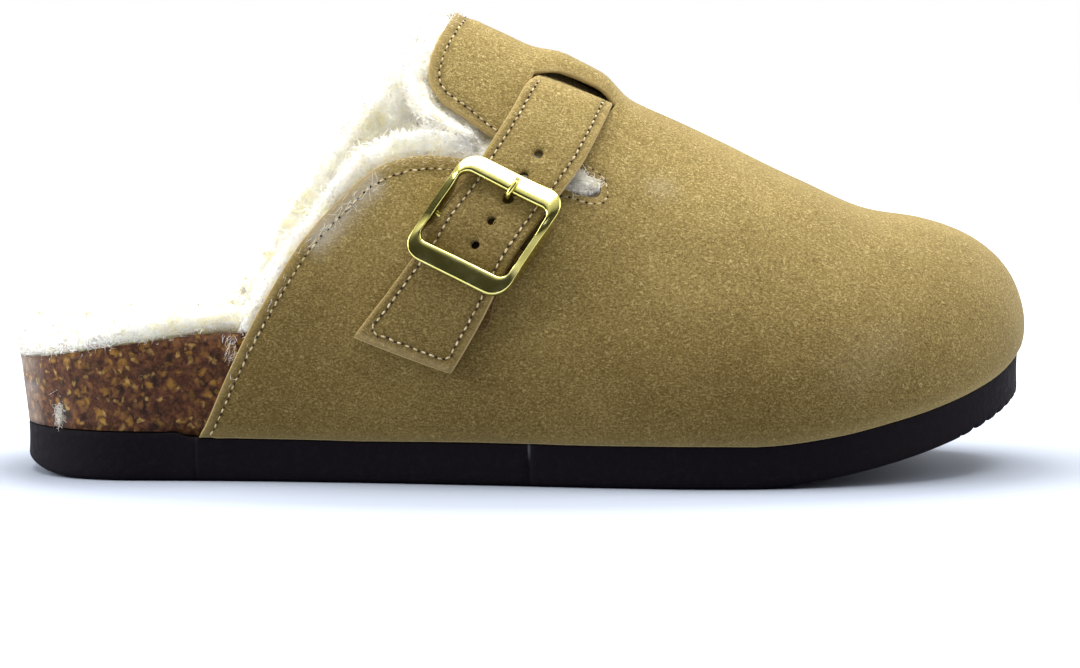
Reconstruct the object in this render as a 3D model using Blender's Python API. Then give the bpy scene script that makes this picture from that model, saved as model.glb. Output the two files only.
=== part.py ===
"""A suede clog slipper for the right foot, in the pieces it is made from.

The tables and functions work in millimetres: x from the back of the heel to the toe, y to the
inner (big toe) side, z up from the floor. MM turns them into metres when a mesh is made. At the
end all pieces move together, so that the middle of the bottom of their box is the origin.
"""
import math
from collections import namedtuple

import bmesh
import bpy
import numpy as np
from mathutils import Matrix
from mathutils.geometry import delaunay_2d_cdt

MM = 0.001
GAP = 0.3

# Outline of the sole
SOLE_LENGTH = 264.0
HEEL_X = 34.0
BALL_X = 180.0
TOE_TIP_Y = 7.0
HEEL_ROUND = 2.2
TOE_ROUND = {"outer": 2.0, "inner": 2.5}

# Outsole
TOE_SPRING = 16.5
SPRING_X = 190.0
SPRING_POWER = 1.6
TIP_RISE = 3.0
TIP_POWER = 8.0
HEEL_BEVEL = 3.2
HEEL_BEVEL_X = 15.0
SOLE_EDGE = 1.2
SEAT_STEP = 1.2
SEAT_X = (42.0, 46.0)
SOLE_SECTIONS = 45
STATION_ROOM = 0.75
GROOVE_X = 206.0
GROOVE_PITCH = 5.8
GROOVE_WIDTH = 1.7
GROOVE_DEPTH = 1.4
GROOVE_RAMP = 0.4
GROOVE_STOP = 2.0

# Cork footbed
CORK_FLARE = 2.0
CORK_INSET = 2.0
CORK_FLARE_X = (36.0, 52.0)
CORK_INSET_X = (38.0, 46.0)
CUP_POWER = 3.0

# Fleece insole
PILE_HEEL = 9.0
PILE_TOE = 6.0
PILE_INSET = 1.0
PILE_INSET_FRONT = 3.2
PILE_ROUND = 3.0
PILE_X = (150.0, 250.0)
PILE_INSET_X = (30.0, 60.0)
PILE_EDGE = (0.8, 1.0)
PILE_END_POWER = 8
LOCK_HEIGHT = 1.2
LOCK_PITCH = 13.0
LOCK_NARROW = 0.9
LOCK_SWAY_ROW = (0.9, 9.0)
LOCK_SWAY_COLUMN = (1.3, 14.0)
LOCK_EDGE = (0.7, 1.0)

# Upper
WALL = 2.2
UPPER_GROW = 0.6
BULGE_POWER = 0.6
SPINE_BEND_X = 170.0
SPINE_END_X = 224.0
KEYHOLE_X = 148.6
KEYHOLE_GIRTH = -0.447
KEYHOLE_LENGTH = 3.4
KEYHOLE_SPAN = 0.029
UPPER_COLUMNS = 38
UPPER_ROWS = 30
DOMAIN_K = 380.0
DOMAIN_GIRTH = 110.0
PATTERN_STEP = 5.0
EDGE_ROOM = 3.0
SLOT_ROOM = 2.5

# Strap, its slot and the raised tunnel it runs into
STRAP_THICK = 2.2
STRAP_IN = 9.0
STRAP_ROWS = 36
STRAP_COLUMNS = 4
SLOT_OPEN = 4.0
SLOT_MARGIN = 0.8
SLOT_POINTS = 7
TUNNEL_RISE = 4.2
TUNNEL_START = 0.3
TUNNEL_FADE = (8.0, 36.0)
TUNNEL_SIDE = (4.5, 16.0)
TUNNEL_LEAN = 0.3
TUNNEL_GRID = 4.5
TUNNEL_ROOM = 0.8
HOLE_PITCH = 7.0
HOLE_RADIUS = 1.0
PRONG_HOLE_RADIUS = 1.35
HOLE_COUNT = 5
HOLE_SIDES = 12
HOLE_REACH = 1.0
PRONG_HOLE = 2

# Buckle, placed along the strap
BUCKLE_AT = 47.2
FRAME_WIDTH = 29.2
FRAME_LENGTH = 29.9
WINDOW_WIDTH = 25.0
WINDOW_LENGTH = 19.6
FRAME_CORNER = 5.2
WINDOW_CORNER = 2.4
FRAME_LOW = 1.6
FRAME_BRIDGE = 6.4
FRAME_TOP_EDGE = 8.2
FRAME_TOP_CROWN = 9.2
FRAME_SIDE_TOP = 8.0
FRAME_ROUND = 0.5
FRAME_FACE = (0.1, 0.8)
FRAME_INNER = (0.97, 0.25)
FRAME_INNER_LOW = 0.3
SIDE_BAR = (0.12, 0.88)
NOTCH_LIFT = 0.1
NOTCH_REACH = (1.0, -3.9)
HINGE_AT = 2.0
HINGE_LIFT = 2.6
HINGE_RADIUS = 0.7
PRONG_RADIUS = 0.6
PRONG_ACROSS = 0.8
PRONG_GATE = -WINDOW_LENGTH / 2 + GAP + PRONG_RADIUS
PRONG_TURNS = (125.0, -90.0)
PRONG_SAG = (-5.5, 1.4)
PRONG_STEM = ((0.9, 2.6), (0.0, 4.4))
PRONG_HOOK = ((0.0, -1.1), (-0.4, -0.25), (-1.2, 0.0), (-4.0, 0.0))
TAB_THICK = 1.0
TAB_END = 23.5
TAB_HALF = 11.3
TAB_FLARE = 13.4
TAB_FLARE_AT = (15.0, 18.5)
TAB_CLEAR = 0.1
TAB_FLAT = (TAB_END, 20.0, 16.0, 12.0, 8.0)
TAB_START = (5.0, 0.05)
TAB_TURNS = (-95.0, -275.0)
TAB_BACK = (2.2, -0.5)
TAB_LAP = (4.4, 0.35)
TAB_OPENING = (-4.0, 2.9)
TAB_OPENING_ROOM = 0.6
TAB_OPENING_LIFT = (0.05, 6.0)

Outline = namedtuple("Outline", "x outer inner")
OUTLINE = (
    Outline(34, 33.5, 33.0),
    Outline(90, 38.0, 31.5),
    Outline(126, 43.5, 35.0),
    Outline(155, 48.5, 41.5),
    Outline(180, 51.0, 46.0),
)

Sole = namedtuple("Sole", "x thick")
SOLE = (
    Sole(0, 12.7),
    Sole(90, 12.0),
    Sole(180, 12.0),
    Sole(264, 12.0),
)

# Heights of the cork's top, before the toe spring is added
Footbed = namedtuple("Footbed", "x centre outer inner")
FOOTBED = (
    Footbed(0, 30.0, 30.0, 30.0),
    Footbed(12, 26.5, 32.0, 32.0),
    Footbed(30, 24.5, 35.2, 35.2),
    Footbed(55, 24.5, 38.0, 38.5),
    Footbed(90, 25.5, 36.0, 40.0),
    Footbed(130, 24.0, 29.0, 32.0),
    Footbed(165, 21.5, 23.5, 24.0),
    Footbed(200, 20.5, 22.0, 22.0),
    Footbed(264, 20.5, 20.5, 20.5),
)

# Sections of the last: height and place of the ridge, how flat its crown and how upright its walls are,
# and the swell of its sides
Section = namedtuple("Section", "x ridge_z ridge_y crown wall bulge")
LAST = (
    Section(30, 121.0, 1.0, 2.1, 1.6, 2.0),
    Section(113, 120.4, 2.0, 2.1, 1.5, 3.2),
    Section(136, 110.2, 2.5, 2.1, 1.5, 3.4),
    Section(158, 98.3, 3.0, 2.15, 1.6, 3.4),
    Section(179, 88.7, 4.0, 2.2, 1.8, 3.2),
    Section(205, 76.0, 5.0, 2.3, 2.1, 2.8),
    Section(224, 68.0, 6.0, 2.5, 2.4, 2.2),
    Section(240, 66.8, 7.0, 2.5, 2.5, 2.0),
    Section(270, 67.4, 7.0, 2.5, 2.5, 1.9),
)

# Edges of the upper. Girth is 0 on the ridge, -1 at the outer sole edge and 1 at the inner one.
Edge = namedtuple("Edge", "x girth")
QUARTER_EDGE = (
    Edge(48.7, -1.0),
    Edge(55.4, -0.872),
    Edge(61.9, -0.780),
    Edge(68.3, -0.708),
    Edge(74.7, -0.645),
    Edge(84.9, -0.572),
    Edge(93.8, -0.520),
    Edge(100.2, -0.499),
    Edge(107.9, -0.484),
    Edge(118.2, -0.476),
)
FLAP_EDGE = (
    Edge(123.2, -0.410),
    Edge(116.8, -0.389),
    Edge(110.3, -0.366),
    Edge(107.8, -0.334),
    Edge(108.0, -0.283),
    Edge(109.2, -0.236),
    Edge(111.7, -0.158),
    Edge(113.6, -0.069),
    Edge(114.0, 0.0),
    Edge(113.4, 0.085),
    Edge(111.6, 0.170),
    Edge(108.2, 0.255),
    Edge(103.6, 0.330),
    Edge(97.8, 0.400),
    Edge(89.8, 0.480),
    Edge(78.0, 0.580),
    Edge(66.8, 0.690),
    Edge(57.0, 0.825),
    Edge(48.7, 1.0),
)

# Middle line of the strap, then its lift, half width and slant at lengths from the slot
Path = namedtuple("Path", "girth x")
STRAP_PATH = (
    Path(-0.900, 92.6),
    Path(-0.811, 101.5),
    Path(-0.697, 113.1),
    Path(-0.618, 120.0),
    Path(-0.540, 127.0),
    Path(-0.429, 135.2),
    Path(-0.204, 144.4),
    Path(-0.005, 150.5),
)
STRAP_SLOT_GIRTH = -0.220
STRAP_TAIL_GIRTH = -0.811
Lift = namedtuple("Lift", "at under half skew")
STRAP = (
    Lift(-14.0, -1.5, 7.0, 0.15),
    Lift(-4.0, -1.3, 7.6, 0.15),
    Lift(0.0, 0.45, 10.4, 0.15),
    Lift(13.0, 2.1, 11.1, 0.12),
    Lift(31.0, 3.2, 11.2, 0.07),
    Lift(37.5, 3.7, 11.1, 0.07),
    Lift(49.0, 5.1, 11.1, 0.07),
    Lift(57.5, 3.8, 11.2, 0.07),
    Lift(62.0, 3.5, 11.4, 0.08),
    Lift(74.0, 1.7, 12.0, 0.18),
    Lift(84.5, 0.8, 12.6, 0.28),
    Lift(95.0, 0.8, 12.6, 0.28),
)


def along(rows, name, at, level=False):
    """A table's column at a place in its first column: a smooth curve, with level ends if asked."""
    places = np.array([row[0] for row in rows], float)
    values = np.array([getattr(row, name) for row in rows], float)
    slope = np.gradient(values, places)
    if level:
        slope[0] = slope[-1] = 0.0
    at = np.clip(at, places[0], places[-1])
    i = np.clip(np.searchsorted(places, at, side="right") - 1, 0, len(places) - 2)
    step = places[i + 1] - places[i]
    t = (at - places[i]) / step
    start = values[i] * (1 + 2 * t) * (1 - t) ** 2 + slope[i] * step * t * (1 - t) ** 2
    return start + values[i + 1] * t * t * (3 - 2 * t) + slope[i + 1] * step * t * t * (t - 1)


def ramp(value, low, high):
    """0 below low, 1 above high, with a soft change between them."""
    t = np.clip((value - low) / (high - low), 0, 1)
    return t * t * (3 - 2 * t)


def unit(vectors):
    """The vectors, one long."""
    return vectors / np.linalg.norm(vectors, axis=-1, keepdims=True)


def station(k):
    """x of a station: k runs from 0 at the heel to 1 at the toe, closer set at both ends."""
    return SOLE_LENGTH * (1 - np.cos(np.pi * k)) / 2


def place(x):
    """The station at x."""
    return np.arccos(np.clip(1 - 2 * np.asarray(x, float) / SOLE_LENGTH, -1, 1)) / np.pi


def outline_y(x, side):
    """y of the sole's outline at x, round at the heel and the toe."""
    sign = -1.0 if side == "outer" else 1.0
    heel = np.clip((HEEL_X - x) / HEEL_X, 0, 1)
    toe = np.clip((x - BALL_X) / (SOLE_LENGTH - BALL_X), 0, 1)
    heel = (1 - heel ** HEEL_ROUND) ** (1 / HEEL_ROUND)
    toe = (1 - toe ** TOE_ROUND[side]) ** (1 / TOE_ROUND[side])
    return TOE_TIP_Y * (1 - toe) + sign * along(OUTLINE, side, x, level=True) * toe * heel


def edge(k, side, grow=0.0):
    """x and y of the outline at station k, moved outwards by grow."""
    k = np.asarray(k, float)
    before, after = np.clip(k - 1e-4, 0, 1), np.clip(k + 1e-4, 0, 1)
    run = station(after) - station(before)
    turn = outline_y(station(after), side) - outline_y(station(before), side)
    turn = np.where((k <= 0) | (k >= 1), np.sign(turn), turn)
    run = np.where((k <= 0) | (k >= 1), 0.0, run)
    size = np.hypot(run, turn)
    hand = 1.0 if side == "outer" else -1.0
    return station(k) + grow * hand * turn / size, outline_y(station(k), side) - grow * hand * run / size


def toe_spring(x):
    """Lift of the sole towards the toe."""
    part = np.clip((x - SPRING_X) / (SOLE_LENGTH - SPRING_X), 0, None)
    return TOE_SPRING * part ** SPRING_POWER + TIP_RISE * np.minimum(part, 1) ** TIP_POWER


def sole_bottom(x):
    """Bottom of the outsole: flat from the heel's bevel to the toe spring."""
    return toe_spring(x) + HEEL_BEVEL * np.clip(1 - x / HEEL_BEVEL_X, 0, 1) ** 2


def sole_top(x):
    """Top of the outsole, a step lower where the upper sits on it."""
    return toe_spring(x) + along(SOLE, "thick", x) - SEAT_STEP * ramp(x, *SEAT_X)


def footbed_z(x, across):
    """Top of the cork: across is -1 at the outer rim and 1 at the inner rim."""
    centre = along(FOOTBED, "centre", x)
    rim = np.where(across < 0, along(FOOTBED, "outer", x), along(FOOTBED, "inner", x))
    return toe_spring(x) + centre + (rim - centre) * np.abs(across) ** CUP_POWER


def spine_x(x):
    """Where the section that starts at x on the sole meets the ridge: near the toe they fan out."""
    reach, span = SOLE_LENGTH - SPINE_BEND_X, SPINE_END_X - SPINE_BEND_X
    part = np.clip((x - SPINE_BEND_X) / reach, 0, 1)
    return np.minimum(x, SPINE_BEND_X) + span * (1 - (1 - part) ** (reach / span))


def last_point(k, girth):
    """Outer face of the upper over the last, without the strap's tunnel."""
    k, girth = np.broadcast_arrays(np.asarray(k, float), np.asarray(girth, float))
    outer_x, outer_y = edge(k, "outer", UPPER_GROW)
    inner_x, inner_y = edge(k, "inner", UPPER_GROW)
    foot_x, foot_y = np.where(girth < 0, outer_x, inner_x), np.where(girth < 0, outer_y, inner_y)
    start = station(k)
    top_x = spine_x(start)
    top_y = along(LAST, "ridge_y", top_x)
    swing = (1 - np.abs(girth)) * np.pi / 2
    inward = 1 - np.clip(np.cos(swing), 0, 1) ** (2 / along(LAST, "crown", start))
    rise = np.sin(swing) ** (2 / along(LAST, "wall", start))
    x = foot_x + (top_x - foot_x) * inward
    y = foot_y + (top_y - foot_y) * inward
    low = sole_top(foot_x) + GAP
    z = low + (along(LAST, "ridge_z", x) - low) * rise
    away = np.hypot(foot_x - top_x, foot_y - top_y)
    swell = along(LAST, "bulge", start) * np.sin(np.pi * rise ** BULGE_POWER) / away
    return np.stack([x + (foot_x - top_x) * swell, y + (foot_y - top_y) * swell, z], -1)


def last_normal(k, girth):
    """Outward direction of the last's face."""
    k, girth = np.broadcast_arrays(np.asarray(k, float), np.asarray(girth, float))
    step = 2e-3
    ahead, behind = np.clip(k + step, 0, 1), np.clip(k - step, 0, 1)
    low, high = np.clip(girth - step, -1, 1), np.clip(girth + step, -1, 1)
    low, high = np.where(girth > 0, np.maximum(low, 0), low), np.where(girth < 0, np.minimum(high, 0), high)
    forward = last_point(ahead, girth) - last_point(behind, girth)
    round_it = last_point(k, high) - last_point(k, low)
    normal = np.cross(forward, round_it)
    return unit(normal)


def strap_line():
    """The strap's middle line: its girths and the lengths along it from the slot."""
    girth = np.linspace(STRAP_PATH[-1].girth, STRAP_PATH[0].girth, 400)
    points = last_point(place(along(STRAP_PATH, "x", girth)), girth)
    length = np.concatenate([[0], np.cumsum(np.linalg.norm(np.diff(points, axis=0), axis=1))])
    return girth, length - np.interp(-STRAP_SLOT_GIRTH, -girth, length)


STRAP_GIRTH, STRAP_LENGTH = strap_line()
STRAP_TAIL = float(np.interp(-STRAP_TAIL_GIRTH, -STRAP_GIRTH, STRAP_LENGTH))


def strap_place(at, across):
    """x and girth on the last under the strap: at is the length from the slot, across is to the toe."""
    at = at - along(STRAP, "skew", at) * across
    girth = np.interp(at, STRAP_LENGTH, STRAP_GIRTH)
    x = along(STRAP_PATH, "x", girth)
    here = last_point(place(x), girth)
    by_x = (last_point(place(x + 0.1), girth) - here) / 0.1
    by_girth = (last_point(place(x), girth - 1e-3) - here) / -1e-3
    after = np.interp(at + 0.5, STRAP_LENGTH, STRAP_GIRTH)
    before = np.interp(at - 0.5, STRAP_LENGTH, STRAP_GIRTH)
    down = last_point(place(along(STRAP_PATH, "x", after)), after) - last_point(
        place(along(STRAP_PATH, "x", before)), before)
    side = unit(np.cross(unit(np.cross(by_x, by_girth)), unit(down)))
    xx, gg = (by_x * by_x).sum(-1), (by_girth * by_girth).sum(-1)
    xg = (by_x * by_girth).sum(-1)
    sx, sg = (side * by_x).sum(-1), (side * by_girth).sum(-1)
    size = xx * gg - xg * xg
    return x + across * (sx * gg - sg * xg) / size, girth + across * (sg * xx - sx * xg) / size


def strap_point(at, across, lift):
    """A point of the strap's own space: along it, across it and off the last's face."""
    at, across, lift = np.broadcast_arrays(*(np.asarray(v, float) for v in (at, across, lift)))
    x, girth = strap_place(at, across)
    k = place(x)
    return last_point(k, girth) + last_normal(k, girth) * lift[..., None]


def slot_frame():
    """x and girth gained at the slot by one millimetre along the strap and by one across it."""
    x0, g0 = strap_place(np.array(0.0), np.array(0.0))
    x1, g1 = strap_place(np.array(1.0), np.array(0.0))
    x2, g2 = strap_place(np.array(0.0), np.array(1.0))
    return np.array([[x1 - x0, x2 - x0], [g1 - g0, g2 - g0]]), np.array([x0, g0])


def tunnel_rise(x, girth):
    """How far the upper is raised over the strap's end."""
    turn, slot = slot_frame()
    back = np.linalg.inv(turn)
    at = back[0, 0] * (x - slot[0]) + back[0, 1] * (girth - slot[1])
    across = back[1, 0] * (x - slot[0]) + back[1, 1] * (girth - slot[1]) - TUNNEL_LEAN * (at + SLOT_OPEN)
    raised = ramp(-at, TUNNEL_START, SLOT_OPEN) * (1 - ramp(-at, *TUNNEL_FADE))
    return TUNNEL_RISE * raised * (1 - ramp(np.abs(across), *TUNNEL_SIDE))


def upper_point(k, girth, depth=0.0):
    """The upper's outer face, or a face at a depth inside its wall."""
    lift = tunnel_rise(station(np.asarray(k, float)), np.asarray(girth, float)) - depth
    return last_point(k, girth) + last_normal(k, girth) * lift[..., None]


def smooth_line(rows, step):
    """Points of a smooth line through table rows, about a step apart in the flat pattern."""
    flat = np.array([(place(row.x) * DOMAIN_K, row.girth * DOMAIN_GIRTH) for row in rows])
    run = np.concatenate([[0], np.cumsum(np.linalg.norm(np.diff(flat, axis=0), axis=1))])
    slope = np.gradient(flat, run, axis=0)
    at = np.linspace(0, run[-1], max(2, round(run[-1] / step)) + 1)
    i = np.clip(np.searchsorted(run, at, side="right") - 1, 0, len(flat) - 2)
    span = (run[i + 1] - run[i])[:, None]
    t = (at - run[i])[:, None] / span
    line = flat[i] * (1 + 2 * t) * (1 - t) ** 2 + slope[i] * span * t * (1 - t) ** 2
    return line + flat[i + 1] * t * t * (3 - 2 * t) + slope[i + 1] * span * t * t * (t - 1)


def keyhole_line():
    """The round end of the slit, from its lower edge to its upper one."""
    turn = np.linspace(-math.pi / 2, math.pi / 2, 9)
    x = KEYHOLE_X + KEYHOLE_LENGTH * np.cos(turn)
    girth = KEYHOLE_GIRTH + KEYHOLE_SPAN * np.sin(turn)
    return np.stack([place(x) * DOMAIN_K, girth * DOMAIN_GIRTH], 1)


def inside(points, loop):
    """Which flat points lie inside a closed loop."""
    found = np.zeros(len(points), bool)
    for a, b in zip(loop, np.roll(loop, -1, axis=0)):
        if a[1] == b[1]:
            continue
        crosses = (a[1] > points[:, 1]) != (b[1] > points[:, 1])
        found ^= crosses & (points[:, 0] < (b[0] - a[0]) * (points[:, 1] - a[1]) / (b[1] - a[1]) + a[0])
    return found


def clear_of(points, loop, room):
    """Which flat points are at least some room away from a loop's line."""
    nearest = np.full(len(points), np.inf)
    for a, b in zip(loop, np.roll(loop, -1, axis=0)):
        run = b - a
        t = np.clip(((points - a) @ run) / max(run @ run, 1e-12), 0, 1)
        nearest = np.minimum(nearest, np.linalg.norm(points - a - t[:, None] * run, axis=1))
    return nearest > room


def tunnel_points():
    """Flat points over the strap's tunnel, set closer than the rest of the pattern."""
    at = -SLOT_OPEN - TUNNEL_GRID * np.arange(1, 4)
    across = np.linspace(-TUNNEL_SIDE[1], TUNNEL_SIDE[1], 7)
    at, across = (values.ravel() for values in np.meshgrid(at, across))
    x, girth = strap_place(at, across + TUNNEL_LEAN * (at + SLOT_OPEN))
    return np.stack([place(x) * DOMAIN_K, girth * DOMAIN_GIRTH], 1)


def upper_pattern():
    """The upper's flat pattern: its points and triangles, as k and girth."""
    back = float(place(QUARTER_EDGE[0].x))
    columns = np.linspace(back, 1, UPPER_COLUMNS + 1)
    rows = np.linspace(-1, 1, UPPER_ROWS + 1)
    foot = np.stack([columns * DOMAIN_K, np.full(len(columns), -DOMAIN_GIRTH)], 1)
    toe_rows = rows[np.abs(rows) > 1e-6]
    toe = np.stack([np.full(len(toe_rows), DOMAIN_K), toe_rows * DOMAIN_GIRTH], 1)
    inner_foot = foot[::-1] * (1, -1)
    round_end = keyhole_line()
    collar = smooth_line(FLAP_EDGE, PATTERN_STEP)
    quarter = smooth_line(QUARTER_EDGE, PATTERN_STEP)
    upper_lip = np.linspace(collar[0], round_end[-1], 5)
    lower_lip = np.linspace(round_end[0], quarter[-1], 6)
    loop = np.concatenate([
        foot, toe[1:-1], inner_foot, collar[::-1][1:], upper_lip[1:-1], round_end[::-1],
        lower_lip[1:], quarter[::-1][1:-1]])
    half = float(along(STRAP, "half", 0.0)) + SLOT_MARGIN
    edge_at, edge_across = np.zeros(SLOT_POINTS), np.linspace(-half, half, SLOT_POINTS)
    hole_at = np.concatenate([edge_at, edge_at - SLOT_OPEN])
    hole_across = np.concatenate([edge_across, edge_across[::-1]])
    hole_x, hole_girth = strap_place(hole_at, hole_across)
    hole = np.stack([place(hole_x) * DOMAIN_K, hole_girth * DOMAIN_GIRTH], 1)
    grid = np.stack(np.meshgrid(columns[1:-1] * DOMAIN_K, rows[1:-1] * DOMAIN_GIRTH), -1).reshape(-1, 2)
    grid = grid[inside(grid, loop) & ~inside(grid, hole)]
    grid = grid[clear_of(grid, loop, EDGE_ROOM) & clear_of(grid, hole, SLOT_ROOM)]
    tunnel = tunnel_points()
    apart = np.linalg.norm(grid[:, None] - tunnel[None], axis=2).min(axis=1)
    flat = np.concatenate([loop, hole, tunnel, grid[apart > TUNNEL_ROOM * TUNNEL_GRID]])
    links = [(i, (i + 1) % len(loop)) for i in range(len(loop))]
    links += [(len(loop) + i, len(loop) + (i + 1) % len(hole)) for i in range(len(hole))]
    points, _, faces, _, _, _ = delaunay_2d_cdt([tuple(p) for p in flat], links, [], 0, 1e-5)
    points = np.array([tuple(p) for p in points])
    faces = np.array(faces)
    middle = points[faces].mean(axis=1)
    faces = faces[inside(middle, loop) & ~inside(middle, hole)]
    return points / (DOMAIN_K, DOMAIN_GIRTH), faces


def new_object(name, points, faces, material):
    """An object with one closed mesh; the points are in millimetres."""
    mesh = bpy.data.meshes.new(name)
    shape = bmesh.new()
    keys, index = {}, []
    for point in points:
        key = tuple(np.round(np.asarray(point, float), 4) + 0.0)
        if key not in keys:
            keys[key] = shape.verts.new([value * MM for value in key])
        index.append(keys[key])
    for face in faces:
        corners = list(dict.fromkeys(index[i] for i in face))
        if len(corners) > 2 and shape.faces.get(corners) is None:
            shape.faces.new(corners)
    bmesh.ops.recalc_face_normals(shape, faces=shape.faces)
    if shape.calc_volume(signed=True) < 0:
        bmesh.ops.reverse_faces(shape, faces=shape.faces)
    shape.to_mesh(mesh)
    shape.free()
    made = bpy.data.objects.new(name, mesh)
    bpy.context.scene.collection.objects.link(made)
    if material:
        mesh.materials.append(material)
    return made


def new_material(name, colour, roughness, metallic=0.0):
    """A plain material."""
    made = bpy.data.materials.new(name)
    made.use_nodes = True
    shader = made.node_tree.nodes["Principled BSDF"]
    shader.inputs["Base Color"].default_value = (*colour, 1.0)
    shader.inputs["Roughness"].default_value = roughness
    shader.inputs["Metallic"].default_value = metallic
    return made


def skin(sections, closed=False):
    """Points and faces of a row of closed sections; closed joins the last to the first."""
    count, size = len(sections), len(sections[0])
    points = [p for section in sections for p in section]
    faces = []
    for i in range(count if closed else count - 1):
        for j in range(size):
            a, b = i * size + j, i * size + (j + 1) % size
            step = ((i + 1) % count - i) * size
            faces.append((a, a + step, b + step, b))
    return points, faces


def capped(sections):
    """A row of closed sections with both ends filled."""
    points, faces = skin(sections)
    size = len(sections[0])
    last = (len(sections) - 1) * size
    return points, faces + [tuple(range(size)), tuple(range(last + size - 1, last - 1, -1))]


def slab(low, high):
    """A closed solid between two grids of points."""
    rows, columns = low.shape[:2]
    points = list(low.reshape(-1, 3)) + list(high.reshape(-1, 3))
    top = rows * columns
    faces = []
    for i in range(rows - 1):
        for j in range(columns - 1):
            a, b = i * columns + j, i * columns + j + 1
            faces.append((a, b, b + columns, a + columns))
            faces.append((top + a, top + a + columns, top + b + columns, top + b))
    rim = [(0, j) for j in range(columns)] + [(i, columns - 1) for i in range(1, rows)]
    rim += [(rows - 1, j) for j in range(columns - 2, -1, -1)] + [(i, 0) for i in range(rows - 2, 0, -1)]
    ring = [i * columns + j for i, j in rim]
    for a, b in zip(ring, ring[1:] + ring[:1]):
        faces.append((a, top + a, top + b, b))
    return points, faces


def cut(target, cutter, operation="DIFFERENCE"):
    """Cut one object with another, or join it, and hide the tool."""
    cutter.hide_render = True
    cutter.display_type = "WIRE"
    change = target.modifiers.new(cutter.name, "BOOLEAN")
    change.operation = operation
    change.solver = "EXACT"
    change.object = cutter


def groove_lift(x):
    """Depth of the cross grooves in the lifted front of the outsole."""
    phase = np.mod(x - GROOVE_X, GROOVE_PITCH)
    cutting = ramp(phase, 0, GROOVE_RAMP) * (1 - ramp(phase, GROOVE_WIDTH - GROOVE_RAMP, GROOVE_WIDTH))
    return GROOVE_DEPTH * np.where(x >= GROOVE_X, cutting, 0.0)


def sole_stations():
    """Stations that the layers of the sole share, with both ends of the seat's step among them."""
    step = place(np.linspace(*SEAT_X, 3))
    spread = np.linspace(0, 1, SOLE_SECTIONS)
    spread = spread[np.abs(spread - step[1]) > STATION_ROOM / SOLE_SECTIONS]
    return sorted([*spread.tolist(), *step.tolist()])


def make_outsole(material):
    """The outsole, lofted through sections from heel to toe."""
    stations = sole_stations()
    x = GROOVE_X
    while x < SOLE_LENGTH - GROOVE_STOP:
        edges = (0.0, GROOVE_RAMP, GROOVE_WIDTH - GROOVE_RAMP, GROOVE_WIDTH)
        stations += [float(place(x + e)) for e in edges]
        x += GROOVE_PITCH
    sections = []
    for k in sorted(stations):
        rows = []
        for side, order in (("outer", 1), ("inner", -1)):
            x_low, y_low = edge(k, side, -SOLE_EDGE)
            x_out, y_out = edge(k, side)
            low = float(sole_bottom(station(k)) + groove_lift(station(k)))
            high = float(sole_top(station(k)))
            column = [(x_low, y_low, low), (x_out, y_out, low + SOLE_EDGE), (x_out, y_out, high)]
            rows += column[::order]
        sections.append(rows)
    return new_object("outsole", *skin(sections), material)


def make_cork(material):
    """The cork footbed, flared at the bare heel and drawn in under the upper."""
    across = np.linspace(-1, 1, 9)
    sections = []
    for k in sole_stations():
        x = float(station(k))
        tip = CORK_INSET * ramp(x, *CORK_INSET_X)
        rim = CORK_FLARE - (CORK_FLARE + CORK_INSET) * ramp(x, *CORK_FLARE_X)
        outer, inner = edge(k, "outer", -tip), edge(k, "inner", -tip)
        outer_rim, inner_rim = edge(k, "outer", rim), edge(k, "inner", rim)
        row = [(*outer, float(sole_top(outer[0]) + GAP))]
        for a in across:
            part = (a + 1) / 2
            px = outer_rim[0] + (inner_rim[0] - outer_rim[0]) * part
            py = outer_rim[1] + (inner_rim[1] - outer_rim[1]) * part
            row.append((px, py, float(footbed_z(x, a))))
        row.append((*inner, float(sole_top(inner[0]) + GAP)))
        sections.append(row)
    return new_object("cork_footbed", *skin(sections), material)


def lock_rise(x, y):
    """Height of the fleece's locks over the pile."""
    row_sway = LOCK_SWAY_ROW[0] * np.sin(y / LOCK_SWAY_ROW[1])
    column_sway = LOCK_SWAY_COLUMN[0] * np.sin(x / LOCK_SWAY_COLUMN[1])
    row = np.sin(2 * np.pi * x / LOCK_PITCH + row_sway)
    column = np.sin(2 * np.pi * y / (LOCK_PITCH * LOCK_NARROW) + column_sway)
    return LOCK_HEIGHT * row * column


def make_insole(material):
    """The fleece insole on the cork, with its locks."""
    across = np.linspace(-1, 1, 15)
    sections = []
    for k in sole_stations():
        x = float(station(k))
        inset = PILE_INSET + (PILE_INSET_FRONT - PILE_INSET) * float(ramp(x, *PILE_INSET_X))
        rim = CORK_FLARE - (CORK_FLARE + CORK_INSET) * float(ramp(x, *CORK_FLARE_X))
        outer, inner = edge(k, "outer", rim - inset), edge(k, "inner", rim - inset)
        pile = PILE_HEEL + (PILE_TOE - PILE_HEEL) * float(ramp(x, *PILE_X))
        low_row, high_row = [], []
        for a in across:
            part = (a + 1) / 2
            px = outer[0] + (inner[0] - outer[0]) * part
            py = outer[1] + (inner[1] - outer[1]) * part
            low = float(footbed_z(x, a)) + GAP
            end = max(abs(a), abs(2 * k - 1) ** PILE_END_POWER)
            soft = 1 - ramp(end, *PILE_EDGE) * PILE_ROUND / pile
            lock = float(lock_rise(px, py) * (1 - ramp(end, *LOCK_EDGE)))
            low_row.append((px, py, low))
            high_row.append((px, py, low + pile * soft + lock))
        sections.append(low_row[::-1] + high_row)
    return new_object("insole", *skin(sections), material)


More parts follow.
